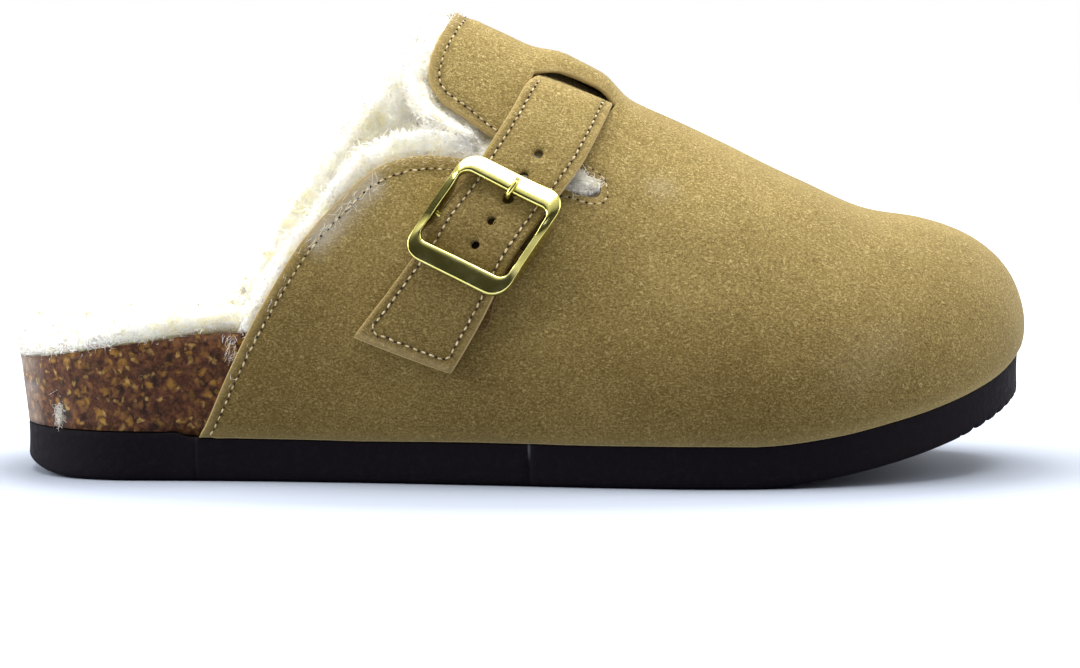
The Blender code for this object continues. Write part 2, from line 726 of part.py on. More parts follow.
def make_upper(material):
    """The upper: the flat pattern laid on the last, with its wall, open below, behind and on top."""
    pattern, faces = upper_pattern()
    k, girth = pattern[:, 0], pattern[:, 1]
    outer = upper_point(k, girth)
    inner = upper_point(k, girth, WALL)
    on_toe = k > 1 - 1e-6
    mean = (upper_point(k, girth, WALL) + upper_point(k, -girth, WALL)) / 2
    inner = np.where(on_toe[:, None], mean, inner)
    outer_toe = (outer + upper_point(k, -girth)) / 2
    outer = np.where(on_toe[:, None], outer_toe, outer)
    foot = np.abs(girth) > 1 - 1e-6
    inner[foot, 2] = outer[foot, 2]
    count = len(pattern)
    partner = np.arange(count)
    toe = [i for i in range(count) if on_toe[i] and girth[i] > 0]
    for i in toe:
        same = [j for j in range(count) if on_toe[j] and abs(girth[j] + girth[i]) < 1e-6]
        partner[i] = same[0]
    faces = [tuple(partner[list(face)]) for face in faces]
    faces = [face for face in faces if len(set(face)) == 3]
    uses = {}
    for a, b, c in faces:
        for pair in ((a, b), (b, c), (c, a)):
            uses[pair] = uses.get(pair, 0) + 1
    rim = [pair for pair in uses if (pair[1], pair[0]) not in uses]
    solid = list(faces) + [(count + c, count + b, count + a) for a, b, c in faces]
    solid += [(b, a, count + a, count + b) for a, b in rim]
    return new_object("upper", np.concatenate([outer, inner]), solid, material)


def hole_places():
    """Lengths along the strap of its punched holes."""
    return [BUCKLE_AT + PRONG_GATE + (i - PRONG_HOLE) * HOLE_PITCH for i in range(HOLE_COUNT)]


def make_strap(material):
    """The strap, from inside the tunnel to its free tail, with its punched holes."""
    at = np.linspace(-STRAP_IN, STRAP_TAIL, STRAP_ROWS + 1)[:, None]
    across = np.linspace(-1, 1, STRAP_COLUMNS + 1)[None, :] * along(STRAP, "half", at)
    under = along(STRAP, "under", at) + np.zeros_like(across)
    low, high = strap_point(at, across, under), strap_point(at, across, under + STRAP_THICK)
    strap = new_object("strap", *slab(low, high), material)
    points, faces = [], []
    for i, hole in enumerate(hole_places()):
        radius = PRONG_HOLE_RADIUS if i == PRONG_HOLE else HOLE_RADIUS
        turn = np.linspace(0, 2 * np.pi, HOLE_SIDES, endpoint=False) + np.pi / HOLE_SIDES
        under = float(along(STRAP, "under", hole))
        rings = [strap_point(hole + radius * np.sin(turn), PRONG_ACROSS + radius * np.cos(turn), lift)
                 for lift in (under - HOLE_REACH, under + STRAP_THICK + HOLE_REACH)]
        more, sides = capped(rings)
        faces += [tuple(j + len(points) for j in face) for face in sides]
        points += more
    cut(strap, new_object("cutter_holes", points, faces, None))
    return strap


def rounded(width, length, radius, turns=5):
    """A rounded rectangle: points across and along, starting in one corner."""
    ring = []
    for corner, (x, y) in enumerate(((1, 1), (-1, 1), (-1, -1), (1, -1))):
        for i in range(turns):
            turn = (corner + i / (turns - 1)) * math.pi / 2
            ring.append((x * (width / 2 - radius) + radius * math.cos(turn),
                         y * (length / 2 - radius) + radius * math.sin(turn)))
    return ring


def make_frame(material):
    """The buckle's frame: end bars that bridge the strap, deep side bars and a hinge bar under it."""
    outer = rounded(FRAME_WIDTH, FRAME_LENGTH, FRAME_CORNER)
    inner = rounded(WINDOW_WIDTH, WINDOW_LENGTH, WINDOW_CORNER)
    stations = []
    for i, (a, b) in enumerate(zip(outer, inner)):
        stations.append((a, b, 0.0))
        if i in (4, 14):
            continue
        if i in (9, 19):
            j = (i + 1) % len(outer)
            for part in SIDE_BAR:
                mid_a = tuple(p + (q - p) * part for p, q in zip(a, outer[j]))
                mid_b = tuple(p + (q - p) * part for p, q in zip(b, inner[j]))
                stations.append((mid_a, mid_b, 1.0))
    sections = []
    for (oc, ol), (ic, il), side in stations:
        low = FRAME_BRIDGE + (FRAME_LOW - FRAME_BRIDGE) * side
        crown = FRAME_TOP_CROWN + (FRAME_SIDE_TOP - FRAME_TOP_CROWN) * side
        row = []
        profile = ((0.0, low), (0.0, FRAME_TOP_EDGE - FRAME_ROUND), (FRAME_FACE[0], FRAME_TOP_EDGE),
                   (FRAME_FACE[1], crown), (FRAME_INNER[0], crown - FRAME_INNER[1]),
                   (1.0, low + FRAME_INNER_LOW))
        for part, lift in profile:
            row.append(strap_point(BUCKLE_AT + ol + (il - ol) * part, oc + (ic - oc) * part, lift))
        sections.append(row)
    frame = new_object("buckle_frame", *skin(sections, closed=True), material)
    turn = np.linspace(0, 2 * np.pi, 8, endpoint=False)
    reach = (FRAME_WIDTH + WINDOW_WIDTH) / 4
    hinge = [strap_point(BUCKLE_AT + HINGE_AT + HINGE_RADIUS * np.cos(turn), c,
                         HINGE_LIFT + HINGE_RADIUS * np.sin(turn)) for c in np.linspace(-reach, reach, 5)]
    cut(frame, new_object("cutter_hinge", *capped(hinge), None), "UNION")
    room = PRONG_RADIUS + GAP
    lift = FRAME_TOP_CROWN + NOTCH_LIFT + room * np.sin(turn)
    notch = [strap_point(BUCKLE_AT - WINDOW_LENGTH / 2 + reach, PRONG_ACROSS + room * np.cos(turn), lift)
             for reach in NOTCH_REACH]
    cut(frame, new_object("cutter_notch", *capped(notch), None))
    return frame


def prong_route():
    """The prong's middle line, along the strap and off the last: round the hinge bar, then up."""
    loop = HINGE_RADIUS + GAP + PRONG_RADIUS
    turns = np.radians(np.linspace(*PRONG_TURNS, 10))
    route = [(HINGE_AT + loop * math.cos(t), HINGE_LIFT + loop * math.sin(t)) for t in turns]
    top = FRAME_TOP_CROWN + NOTCH_LIFT
    stem = [(PRONG_GATE + at, lift) for at, lift in PRONG_STEM]
    hook = [(PRONG_GATE + at, top + drop) for at, drop in PRONG_HOOK]
    return [*route, PRONG_SAG, *stem, *hook]


def make_prong(material):
    """The prong, as a round wire."""
    route = np.array(prong_route())
    heading = unit(np.gradient(route, axis=0))
    turn = np.linspace(0, 2 * np.pi, 8, endpoint=False)
    sections = []
    for (at, lift), (da, dl) in zip(route, heading):
        sections.append(strap_point(BUCKLE_AT + at - dl * PRONG_RADIUS * np.sin(turn),
                                    PRONG_ACROSS + PRONG_RADIUS * np.cos(turn),
                                    lift + da * PRONG_RADIUS * np.sin(turn)))
    return new_object("buckle_prong", *capped(sections), material)


def make_tab(material):
    """The tab that holds the hinge bar: flat on the upper, folded round the bar, open for the prong."""
    fold = HINGE_RADIUS + GAP + TAB_THICK / 2
    flat = GAP + TAB_CLEAR + TAB_THICK / 2
    route = [(a, flat) for a in TAB_FLAT] + [(TAB_START[0], flat + TAB_START[1])]
    turns = np.radians(np.linspace(*TAB_TURNS, 9))
    route += [(HINGE_AT + fold * math.cos(t), HINGE_LIFT + fold * math.sin(t)) for t in turns]
    route.append((HINGE_AT + TAB_BACK[0], HINGE_LIFT + fold + TAB_BACK[1]))
    route.append((HINGE_AT + TAB_LAP[0], flat + TAB_THICK + TAB_LAP[1]))
    route = np.array(route)
    heading = unit(np.gradient(route, axis=0))
    off = np.stack([-heading[:, 1], heading[:, 0]], 1) * TAB_THICK / 2
    ring = np.concatenate([route + off, (route - off)[::-1]])
    at, lift = BUCKLE_AT + ring[:, 0], ring[:, 1]
    wide = TAB_HALF + (TAB_FLARE - TAB_HALF) * ramp(ring[:, 0], *TAB_FLARE_AT)
    parts = (0.0, 0.33, 0.67, 1.0)
    sections = [strap_point(at, -TAB_HALF + (wide + TAB_HALF) * part, lift) for part in parts]
    count = len(route)
    points, faces = skin(sections)
    size = 2 * count
    for end, order in ((0, 1), (3 * size, -1)):
        for i in range(count - 1):
            faces.append(tuple(end + j for j in (i, i + 1, size - 2 - i, size - 1 - i))[::order])
    tab = new_object("buckle_tab", points, faces, material)
    room = PRONG_RADIUS + TAB_OPENING_ROOM
    at = BUCKLE_AT + HINGE_AT + np.array(TAB_OPENING)[:, None]
    across = PRONG_ACROSS + np.array([[-room, room]])
    low, high = (strap_point(at, across, lift) for lift in TAB_OPENING_LIFT)
    cut(tab, new_object("cutter_prong_gap", *slab(low, high), None))
    return tab


def seat_on_origin():
    """Move every mesh together, so that the box's bottom middle is the origin."""
    shown = [o for o in bpy.data.objects if not o.hide_render]
    points = np.concatenate([[tuple(v.co) for v in o.data.vertices] for o in shown])
    low, high = points.min(axis=0), points.max(axis=0)
    shift = Matrix.Translation((-(low[0] + high[0]) / 2, -(low[1] + high[1]) / 2, -low[2]))
    for made in bpy.data.objects:
        made.data.transform(shift)


def main():
    """Build every piece."""
    for old in list(bpy.data.objects):
        bpy.data.objects.remove(old)
    suede = new_material("suede", (0.30, 0.21, 0.08), 0.95)
    brass = new_material("brass", (0.72, 0.60, 0.25), 0.2, 1.0)
    make_outsole(new_material("foam_rubber", (0.012, 0.009, 0.013), 0.7))
    make_cork(new_material("cork", (0.22, 0.10, 0.04), 0.6))
    make_insole(new_material("fleece", (0.85, 0.80, 0.66), 1.0))
    make_upper(suede)
    make_strap(new_material("strap_suede", (0.28, 0.19, 0.07), 0.95))
    make_frame(brass)
    make_prong(new_material("prong_brass", (0.72, 0.60, 0.25), 0.2, 1.0))
    make_tab(new_material("tab_suede", (0.26, 0.18, 0.07), 0.95))
    seat_on_origin()


if __name__ == "__main__":
    main()
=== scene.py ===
"""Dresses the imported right-foot clog: suede, fleece, cork, foam and brass over its fixed frame.

The forms are worked out in millimetres: x from the back of the heel to the toe, y to the inner (big toe)
side, z up from the floor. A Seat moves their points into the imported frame, in metres.
"""
import logging
import math
from dataclasses import dataclass, field
from enum import Enum
from typing import NamedTuple, Sequence

import bmesh
import bpy
import numpy as np
from mathutils.geometry import delaunay_2d_cdt
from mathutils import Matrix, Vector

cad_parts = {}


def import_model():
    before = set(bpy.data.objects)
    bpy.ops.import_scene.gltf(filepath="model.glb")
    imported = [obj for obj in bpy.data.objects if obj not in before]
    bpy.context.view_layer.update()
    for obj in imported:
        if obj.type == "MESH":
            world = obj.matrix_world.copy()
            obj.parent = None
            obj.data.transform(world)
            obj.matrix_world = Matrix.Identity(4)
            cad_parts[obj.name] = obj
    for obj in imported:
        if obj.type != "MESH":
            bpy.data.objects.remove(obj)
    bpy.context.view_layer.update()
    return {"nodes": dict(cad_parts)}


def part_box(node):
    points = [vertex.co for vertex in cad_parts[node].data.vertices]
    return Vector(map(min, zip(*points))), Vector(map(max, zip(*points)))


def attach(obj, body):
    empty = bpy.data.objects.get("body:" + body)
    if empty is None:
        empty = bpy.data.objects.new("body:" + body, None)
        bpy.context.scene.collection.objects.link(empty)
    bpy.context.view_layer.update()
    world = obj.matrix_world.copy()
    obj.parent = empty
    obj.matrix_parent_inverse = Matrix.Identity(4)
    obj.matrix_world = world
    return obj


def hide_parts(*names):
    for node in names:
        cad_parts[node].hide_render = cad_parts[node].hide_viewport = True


Array = np.ndarray
Number = float | np.ndarray
Pair = tuple[float, float]
Place = tuple[float, float, float]
Colour = tuple[float, float, float]
Socket = bpy.types.NodeSocket
Node = bpy.types.Node
Tree = bpy.types.NodeTree
Finish = bpy.types.Material
Mesh = bpy.types.Mesh
Piece = bpy.types.Object
Skin = tuple[Array, list]

MM = 0.001
BODY = "root"
LOG = logging.getLogger("clog")


class Side(Enum):
    """Sides of the shoe, with the sign of y on each."""

    OUTER = -1.0
    INNER = 1.0


class Slot(Enum):
    """The record's material slots."""

    FOAM = "foam_rubber"
    CORK = "cork"
    FLEECE = "fleece"
    SUEDE = "suede"
    STRAP = "strap_suede"
    BRASS = "brass"


class Outline(NamedTuple):
    """Half widths of the sole at x."""

    x: float
    outer: float
    inner: float


class Sole(NamedTuple):
    """Thickness of the foam at x."""

    x: float
    thick: float


class Footbed(NamedTuple):
    """Heights of the cork's top at x, before the toe spring."""

    x: float
    centre: float
    outer: float
    inner: float


class Section(NamedTuple):
    """A section of the last: its ridge, how flat its crown and upright its walls are, and its swell."""

    x: float
    ridge_z: float
    ridge_y: float
    crown: float
    wall: float
    bulge: float


class Edge(NamedTuple):
    """A point of the collar: girth is 0 on the ridge, -1 at the outer sole edge and 1 at the inner one."""

    x: float
    girth: float


class Path(NamedTuple):
    """A point of the strap's middle line."""

    girth: float
    x: float


class Lift(NamedTuple):
    """The strap at a length from its slot: lift off the last, half width and slant."""

    at: float
    under: float
    half: float
    skew: float


class Stroke(NamedTuple):
    """A soft stroke on the suede from one place to another, with its width and strength."""

    x: float
    girth: float
    to_x: float
    to_girth: float
    width: float
    strength: float


class Hairs(NamedTuple):
    """Stray hairs along a stretch of the suede: where it runs, how wide it is and how long they are."""

    count: int
    x: float
    girth: float
    to_x: float
    to_girth: float
    spread: float
    length: float


class Lumps(NamedTuple):
    """Smooth random lumps: their width, their height and which set they are."""

    size: float
    height: float
    seed: int


class Lamp(NamedTuple):
    """A soft box that faces the shoe: its place and size in metres, its watts and its colour."""

    name: str
    place: Place
    size: Pair
    power: float
    colour: Colour


def table(kind: type, *rows: tuple) -> tuple:
    """Rows of values as a table of one kind."""
    return tuple(kind(*row) for row in rows)


OUTLINE = table(
    Outline,
    (34, 33.5, 33.0), (90, 38.0, 31.5), (126, 43.5, 35.0), (155, 48.5, 41.5), (180, 51.0, 46.0))
SOLE = table(Sole, (0, 12.7), (90, 12.0), (180, 12.0), (264, 12.0))
FOOTBED = table(
    Footbed,
    (0, 30.0, 30.0, 30.0), (12, 26.5, 32.0, 32.0), (30, 24.5, 35.2, 35.2), (55, 24.5, 38.0, 38.5),
    (90, 25.5, 36.0, 40.0), (130, 24.0, 29.0, 32.0), (165, 21.5, 23.5, 24.0), (200, 20.5, 22.0, 22.0),
    (264, 20.5, 20.5, 20.5))
SECTIONS = table(
    Section,
    (30, 121.0, 1.0, 2.1, 1.6, 2.0), (113, 120.4, 2.0, 2.1, 1.5, 3.2), (136, 110.2, 2.5, 2.1, 1.5, 3.4),
    (158, 98.3, 3.0, 2.15, 1.6, 3.4), (179, 88.7, 4.0, 2.2, 1.8, 3.2), (205, 76.0, 5.0, 2.3, 2.1, 2.8),
    (224, 68.0, 6.0, 2.5, 2.4, 2.2), (240, 66.8, 7.0, 2.5, 2.5, 2.0), (270, 67.4, 7.0, 2.5, 2.5, 1.9))
QUARTER_EDGE = table(
    Edge,
    (48.7, -1.0), (55.4, -0.872), (61.9, -0.780), (68.3, -0.708), (74.7, -0.645), (84.9, -0.572),
    (93.8, -0.520), (100.2, -0.499), (107.9, -0.484), (118.2, -0.476))
FLAP_EDGE = table(
    Edge,
    (123.2, -0.410), (116.8, -0.389), (110.3, -0.366), (107.8, -0.334), (108.0, -0.283), (109.2, -0.236),
    (111.7, -0.158), (113.6, -0.069), (114.0, 0.0), (113.4, 0.085), (111.6, 0.170), (108.2, 0.255),
    (103.6, 0.330), (97.8, 0.400), (89.8, 0.480), (78.0, 0.580), (66.8, 0.690), (57.0, 0.825), (48.7, 1.0))
STRAP_PATH = table(
    Path,
    (-0.900, 92.6), (-0.811, 101.5), (-0.697, 113.1), (-0.618, 120.0), (-0.540, 127.0), (-0.429, 135.2),
    (-0.204, 144.4), (-0.005, 150.5))
STRAP = table(
    Lift,
    (-14.0, -2.4, 8.6, 0.22), (-4.0, -2.2, 9.8, 0.26), (0.0, 0.1, 10.6, 0.26), (13.0, 2.1, 11.1, 0.12),
    (31.0, 3.2, 11.0, 0.07), (37.5, 3.7, 10.6, 0.07), (49.0, 5.1, 10.6, 0.07), (57.5, 3.8, 10.8, 0.07),
    (62.0, 3.5, 11.2, 0.08), (74.0, 1.7, 12.0, 0.18), (84.5, 0.8, 12.6, 0.28), (95.0, 0.8, 12.6, 0.28))

# Troughs: puckers at the slot, a pinch at the keyhole, flex lines over the ball, one by the strap's tail
CREASES = table(
    Stroke,
    (157.0, -0.262, 163.5, -0.288, 1.8, 0.45), (156.0, -0.243, 161.5, -0.226, 1.8, 0.30),
    (136.0, -0.150, 139.5, -0.235, 3.2, 0.45), (153.5, -0.447, 161.0, -0.468, 2.4, 0.35),
    (176.0, -0.240, 186.0, -0.600, 9.0, 0.40), (191.0, -0.180, 203.0, -0.520, 8.0, 0.30),
    (183.0, -0.220, 194.0, -0.560, 6.0, -0.25), (176.0, 0.240, 186.0, 0.600, 9.0, 0.40),
    (191.0, 0.180, 203.0, 0.520, 8.0, 0.30), (84.0, -0.820, 116.0, -0.900, 9.0, 0.30))

# Frayed nap on the quarter's edge, and two faint rubbed places on the vamp and the toe
RUBBED = table(
    Stroke,
    (79.0, -0.634, 93.5, -0.542, 2.2, 0.70), (166.0, -0.410, 168.0, -0.398, 3.0, 0.16),
    (216.0, -0.840, 224.0, -0.800, 9.0, 0.05))

# The frayed stretch, the quarter below and above it, and the flap's edge
STRAY = table(
    Hairs,
    (44, 77.0, -0.645, 95.0, -0.530, 0.7, 3.0), (22, 56.0, -0.880, 75.0, -0.650, 0.4, 1.4),
    (40, 96.0, -0.510, 117.0, -0.474, 0.4, 1.4), (50, 110.5, -0.200, 114.2, -0.020, 0.5, 1.8))
LAMPS = table(
    Lamp,
    ("overhead", (0.05, 0.10, 1.1), (1.3, 1.0), 24.0, (1.0, 0.985, 0.95)),
    ("toe_side", (1.1, -0.10, 0.55), (0.7, 0.7), 6.0, (1.0, 0.98, 0.94)),
    ("heel_side", (-1.1, -0.15, 0.50), (0.8, 0.8), 15.0, (0.98, 0.99, 1.0)))


def hermite(i: Array, t: Array, step: Array, values: Array, slopes: Array) -> Array:
    """A smooth curve between neighbours in a list of values.

    Args:
        i: Index of the value before each place.
        t: Share of the way to the next value.
        step: Distance between the two.
        values: The values.
        slopes: The curve's slope at each value.

    Returns:
        The curve at each place.
    """
    start = values[i] * (1 + 2 * t) * (1 - t) ** 2 + slopes[i] * step * t * (1 - t) ** 2
    return start + values[i + 1] * t * t * (3 - 2 * t) + slopes[i + 1] * step * t * t * (t - 1)


def along(rows: Sequence[tuple], name: str, at: Number, level: bool = False) -> Array:
    """Read a table's column as a smooth curve.

    Args:
        rows: Table rows, in order of their first column.
        name: The column to read.
        at: Places in the first column.
        level: Whether the curve ends level.

    Returns:
        The column's values at those places.
    """
    places = np.array([row[0] for row in rows], float)
    values = np.array([getattr(row, name) for row in rows], float)
    slope = np.gradient(values, places)
    if level:
        slope[0] = slope[-1] = 0.0
    at = np.clip(at, places[0], places[-1])
    i = np.clip(np.searchsorted(places, at, side="right") - 1, 0, len(places) - 2)
    step = places[i + 1] - places[i]
    return hermite(i, (at - places[i]) / step, step, values, slope)


def ramp(value: Number, low: float, high: float) -> Array:
    """0 below low, 1 above high, with a soft change between them."""
    t = np.clip((value - low) / (high - low), 0, 1)
    return t * t * (3 - 2 * t)


def unit(vectors: Array) -> Array:
    """The vectors, one long."""
    return vectors / np.maximum(np.linalg.norm(vectors, axis=-1, keepdims=True), 1e-12)


def cloud(points: Array, size: float, seed: int) -> Array:
    """Smooth random lumps in space.

    Args:
        points: Points in millimetres.
        size: Width of a lump.
        seed: Which set of lumps.

    Returns:
        Values between -1 and 1.
    """
    cell = np.floor(points / size)
    t = points / size - cell
    t = t * t * (3 - 2 * t)
    total = np.zeros(points.shape[:-1])
    for corner in np.ndindex(2, 2, 2):
        lattice = (cell + np.array(corner)).astype(np.int64)
        mixed = lattice[..., 0] * 73856093 ^ lattice[..., 1] * 19349663 ^ lattice[..., 2] * 83492791
        mixed = (mixed + seed * 2654435761) & 0x7FFFFFFF
        mixed = (mixed ^ (mixed >> 15)) * 2246822519 & 0x7FFFFFFF
        mixed = (mixed ^ (mixed >> 13)) * 3266489917 & 0x7FFFFFFF
        weight = np.where(np.array(corner) == 1, t, 1 - t).prod(axis=-1)
        total += weight * (mixed / 0x3FFFFFFF - 1)
    return total


def lumpy(points: Array, kinds: Sequence[Lumps]) -> Array:
    """The summed heights of several kinds of lumps."""
    return sum(kind.height * cloud(points, kind.size, kind.seed) for kind in kinds)


def bell(distance: Array, width: Number) -> Array:
    """1 at no distance, falling softly to 0 past a width."""
    return np.exp(-(distance / width) ** 2)


def between(start: Number, end: Number, share: Number) -> Array:
    """The value at a share of the way from one to another."""
    return start + (end - start) * share


def kept_points(faces: Sequence, count: int) -> tuple[Array, Array]:
    """Find the points that faces use.

    Args:
        faces: The faces, as rows of indices.
        count: How many points there are.

    Returns:
        The points in use, and the new index of each.
    """
    used = np.unique(np.concatenate([np.ravel(face) for face in faces]))
    index = np.zeros(count, int)
    index[used] = np.arange(len(used))
    return used, index


def ring_of(loop: Array) -> Array:
    """A loop's points with the first one again at the end."""
    return np.vstack([loop, loop[:1]])


def distance_to(points: Array, line: Array) -> Array:
    """Distance from flat points to an open line.

    Args:
        points: Flat points.
        line: Points of the line.

    Returns:
        One distance for each point.
    """
    nearest = np.full(len(points), np.inf)
    for a, b in zip(line[:-1], line[1:]):
        run = b - a
        t = np.clip(((points - a) @ run) / max(run @ run, 1e-12), 0, 1)
        nearest = np.minimum(nearest, np.linalg.norm(points - a - t[:, None] * run, axis=1))
    return nearest


def inside(points: Array, loop: Array) -> Array:
    """Find the flat points in a closed loop.

    Args:
        points: Flat points.
        loop: Points of the loop.

    Returns:
        True for each point inside.
    """
    found = np.zeros(len(points), bool)
    for a, b in zip(loop, np.roll(loop, -1, axis=0)):
        if a[1] == b[1]:
            continue
        crosses = (a[1] > points[:, 1]) != (b[1] > points[:, 1])
        found ^= crosses & (points[:, 0] < (b[0] - a[0]) * (points[:, 1] - a[1]) / (b[1] - a[1]) + a[0])
    return found


def circle(count: int) -> Array:
    """Angles of a count of places round a circle."""
    return np.linspace(0, 2 * np.pi, count, endpoint=False)


def lengths_of(line: Array) -> Array:
    """Lengths along a line, from its start to each point."""
    return np.concatenate([[0], np.cumsum(np.linalg.norm(np.diff(line, axis=0), axis=1))])


def steps_of(run: Array, step: float) -> Array:
    """Even places along a run of lengths, about a step apart."""
    return np.linspace(0, run[-1], max(2, round(run[-1] / step)) + 1)


def spaced(line: Array, step: float) -> Array:
    """The points of a line, a step apart.

    Args:
        line: Points of the line.
        step: Distance between the points that are read.

    Returns:
        Points on the line.
    """
    run = lengths_of(line)
    at = steps_of(run, step)
    return np.stack([np.interp(at, run, line[:, i]) for i in range(line.shape[1])], 1)


def smooth_curve(points: Array, step: float) -> Array:
    """A smooth curve through points, read about a step apart.

    Args:
        points: The points that the curve goes through.
        step: Distance between the points that are read.

    Returns:
        Points of the curve.
    """
    run = lengths_of(points)
    at = steps_of(run, step)
    i = np.clip(np.searchsorted(run, at, side="right") - 1, 0, len(points) - 2)
    span = (run[i + 1] - run[i])[:, None]
    return hermite(i, (at - run[i])[:, None] / span, span, points, np.gradient(points, run, axis=0))


def beside(line: Array, distance: Number) -> Array:
    """A flat line moved to its right, with the points that its corners fold back left out.

    Args:
        line: Points of the line.
        distance: How far it moves, once or for each point; below 0 it goes to the left.

    Returns:
        Points of the moved line.
    """
    heading = unit(np.gradient(line, axis=0))
    away = np.broadcast_to(distance, len(line))
    moved = line + away[:, None] * np.stack([heading[:, 1], -heading[:, 0]], 1)
    least_share = 0.93
    return moved[distance_to(moved, line) > least_share * np.abs(away)]


def fill_pattern(loop: Array, holes: Sequence[Array], step: float) -> tuple[Array, Array]:
    """Fill a flat loop with triangles, a step apart.

    Args:
        loop: Points of the outside line, in order.
        holes: Loops that stay open.
        step: Size of the triangles.

    Returns:
        The flat points, and the triangles as rows of indices.
    """
    low, high = loop.min(axis=0), loop.max(axis=0)
    counts = np.ceil((high - low) / step).astype(int)
    axes = [np.linspace(low[i], high[i], counts[i] + 1)[1:-1] for i in range(2)]
    grid = np.stack(np.meshgrid(*axes), -1).reshape(-1, 2)
    room = 0.55 * step
    keep = inside(grid, loop) & (distance_to(grid, ring_of(loop)) > room)
    for hole in holes:
        keep &= ~inside(grid, hole) & (distance_to(grid, ring_of(hole)) > room)
    flat, links = [], []
    for ring in (loop, *holes):
        first = sum(len(part) for part in flat)
        links += [(first + i, first + (i + 1) % len(ring)) for i in range(len(ring))]
        flat.append(ring)
    flat = np.concatenate([*flat, grid[keep]])
    points, _, faces, _, _, _ = delaunay_2d_cdt([tuple(p) for p in flat], links, [], 0, 1e-6)
    points, faces = np.array([tuple(p) for p in points]), np.array(faces)
    middle = points[faces].mean(axis=1)
    keep = inside(middle, loop)
    for hole in holes:
        keep &= ~inside(middle, hole)
    return points, faces[keep]


def hide_solid(faces: Array, outer: Array, inner: Array, bulge: float) -> tuple[Array, list, Array, Array]:
    """Close two faces of a hide with a rounded cut edge.

    Args:
        faces: Triangles that both faces share.
        outer: Points of the outer face.
        inner: Points of the inner face.
        bulge: How far the cut edge swells out.

    Returns:
        The solid's points, its faces, a mark of 0 to 1 for points on the cut edge, and for each point the
        index of the face point that it belongs to.
    """
    count = len(outer)
    sides = np.concatenate([faces[:, [0, 1]], faces[:, [1, 2]], faces[:, [2, 0]]])
    third = np.concatenate([faces[:, 2], faces[:, 0], faces[:, 1]])
    free = ~np.isin(sides[:, 0] * count + sides[:, 1], sides[:, 1] * count + sides[:, 0])
    a, b, c = sides[free, 0], sides[free, 1], third[free]
    heading = unit(outer[b] - outer[a])
    back = outer[c] - (outer[a] + outer[b]) / 2
    away = -unit(back - (back * heading).sum(-1, keepdims=True) * heading)
    out = np.zeros_like(outer)
    np.add.at(out, a, away)
    np.add.at(out, b, away)
    rim = np.unique(np.concatenate([a, b]))
    out = unit(out[rim])
    middle, half = (outer[rim] + inner[rim]) / 2, (outer[rim] - inner[rim]) / 2
    round_steps, rim_mark = 6, 0.6
    turns = np.linspace(np.pi / 2, -np.pi / 2, round_steps)[1:-1]
    rings = [middle + out * bulge * math.cos(t) + half * math.sin(t) for t in turns]
    where = np.zeros(count, int)
    where[rim] = np.arange(len(rim))
    chains = [np.arange(count)]
    chains += [2 * count + i * len(rim) + where for i in range(len(rings))]
    chains.append(count + np.arange(count))
    solid = faces.tolist() + (faces[:, ::-1] + count).tolist()
    for upper, lower in zip(chains[:-1], chains[1:]):
        solid += np.stack([upper[b], upper[a], lower[a], lower[b]], 1).tolist()
    cut = np.zeros(2 * count + len(rings) * len(rim))
    cut[2 * count:] = 1.0
    cut[rim] = cut[rim + count] = rim_mark
    source = np.concatenate([np.arange(count), np.arange(count), np.tile(rim, len(rings))])
    return np.concatenate([outer, inner, *rings]), solid, cut, source


def loft(rows: Array, closed: bool = False, capped: bool = False) -> Skin:
    """Join closed sections into a skin.

    Args:
        rows: Points, as sections by places in a section.
        closed: Whether the last section joins the first.
        capped: Whether both ends are filled.

    Returns:
        The points and the faces.
    """
    count, size = rows.shape[:2]
    i, j = np.meshgrid(np.arange(count if closed else count - 1), np.arange(size), indexing="ij")
    ahead, beyond = (i + 1) % count, (j + 1) % size
    corners = (i * size + j, ahead * size + j, ahead * size + beyond, i * size + beyond)
    faces = np.stack(corners, -1).reshape(-1, 4).tolist()
    if capped:
        last = (count - 1) * size
        faces += [list(range(size)), list(range(last + size - 1, last - 1, -1))]
    return rows.reshape(-1, 3), faces


def tube(line: Array, radius: Array, sides: int) -> Skin:
    """A round tube along a line.

    Args:
        line: Points of its middle line.
        radius: Its radius at each point.
        sides: How many sides it has.

    Returns:
        The points and the faces.
    """
    heading = unit(np.gradient(line, axis=0))
    start = np.array([0.3, 0.9, 0.2])
    across = unit(start - (heading @ start)[:, None] * heading)
    other = np.cross(heading, across)
    turn = circle(sides)
    ring = across[:, None] * np.cos(turn)[:, None] + other[:, None] * np.sin(turn)[:, None]
    return loft(line[:, None] + ring * np.asarray(radius)[:, None, None], capped=True)


def whisker(line: Array, radius: Array) -> Skin:
    """A thin three-sided hair that ends in a point.

    Args:
        line: Points of its middle line.
        radius: Its radius at each point but the last.

    Returns:
        The points and the faces.
    """
    points, faces = tube(line[:-1], radius, 3)
    tip, last = len(points), len(points) - 3
    fan = [[last + j, tip, last + (j + 1) % 3] for j in range(3)]
    return np.vstack([points, line[-1:]]), faces[:-1] + fan


def joined(parts: Sequence[Skin]) -> Skin:
    """Join several skins.

    Args:
        parts: Points and faces of each.

    Returns:
        The points and the faces of all.
    """
    points, faces, first = [], [], 0
    for more, corners in parts:
        faces += [[first + i for i in face] for face in corners]
        points.append(more)
        first += len(more)
    return np.concatenate(points), faces


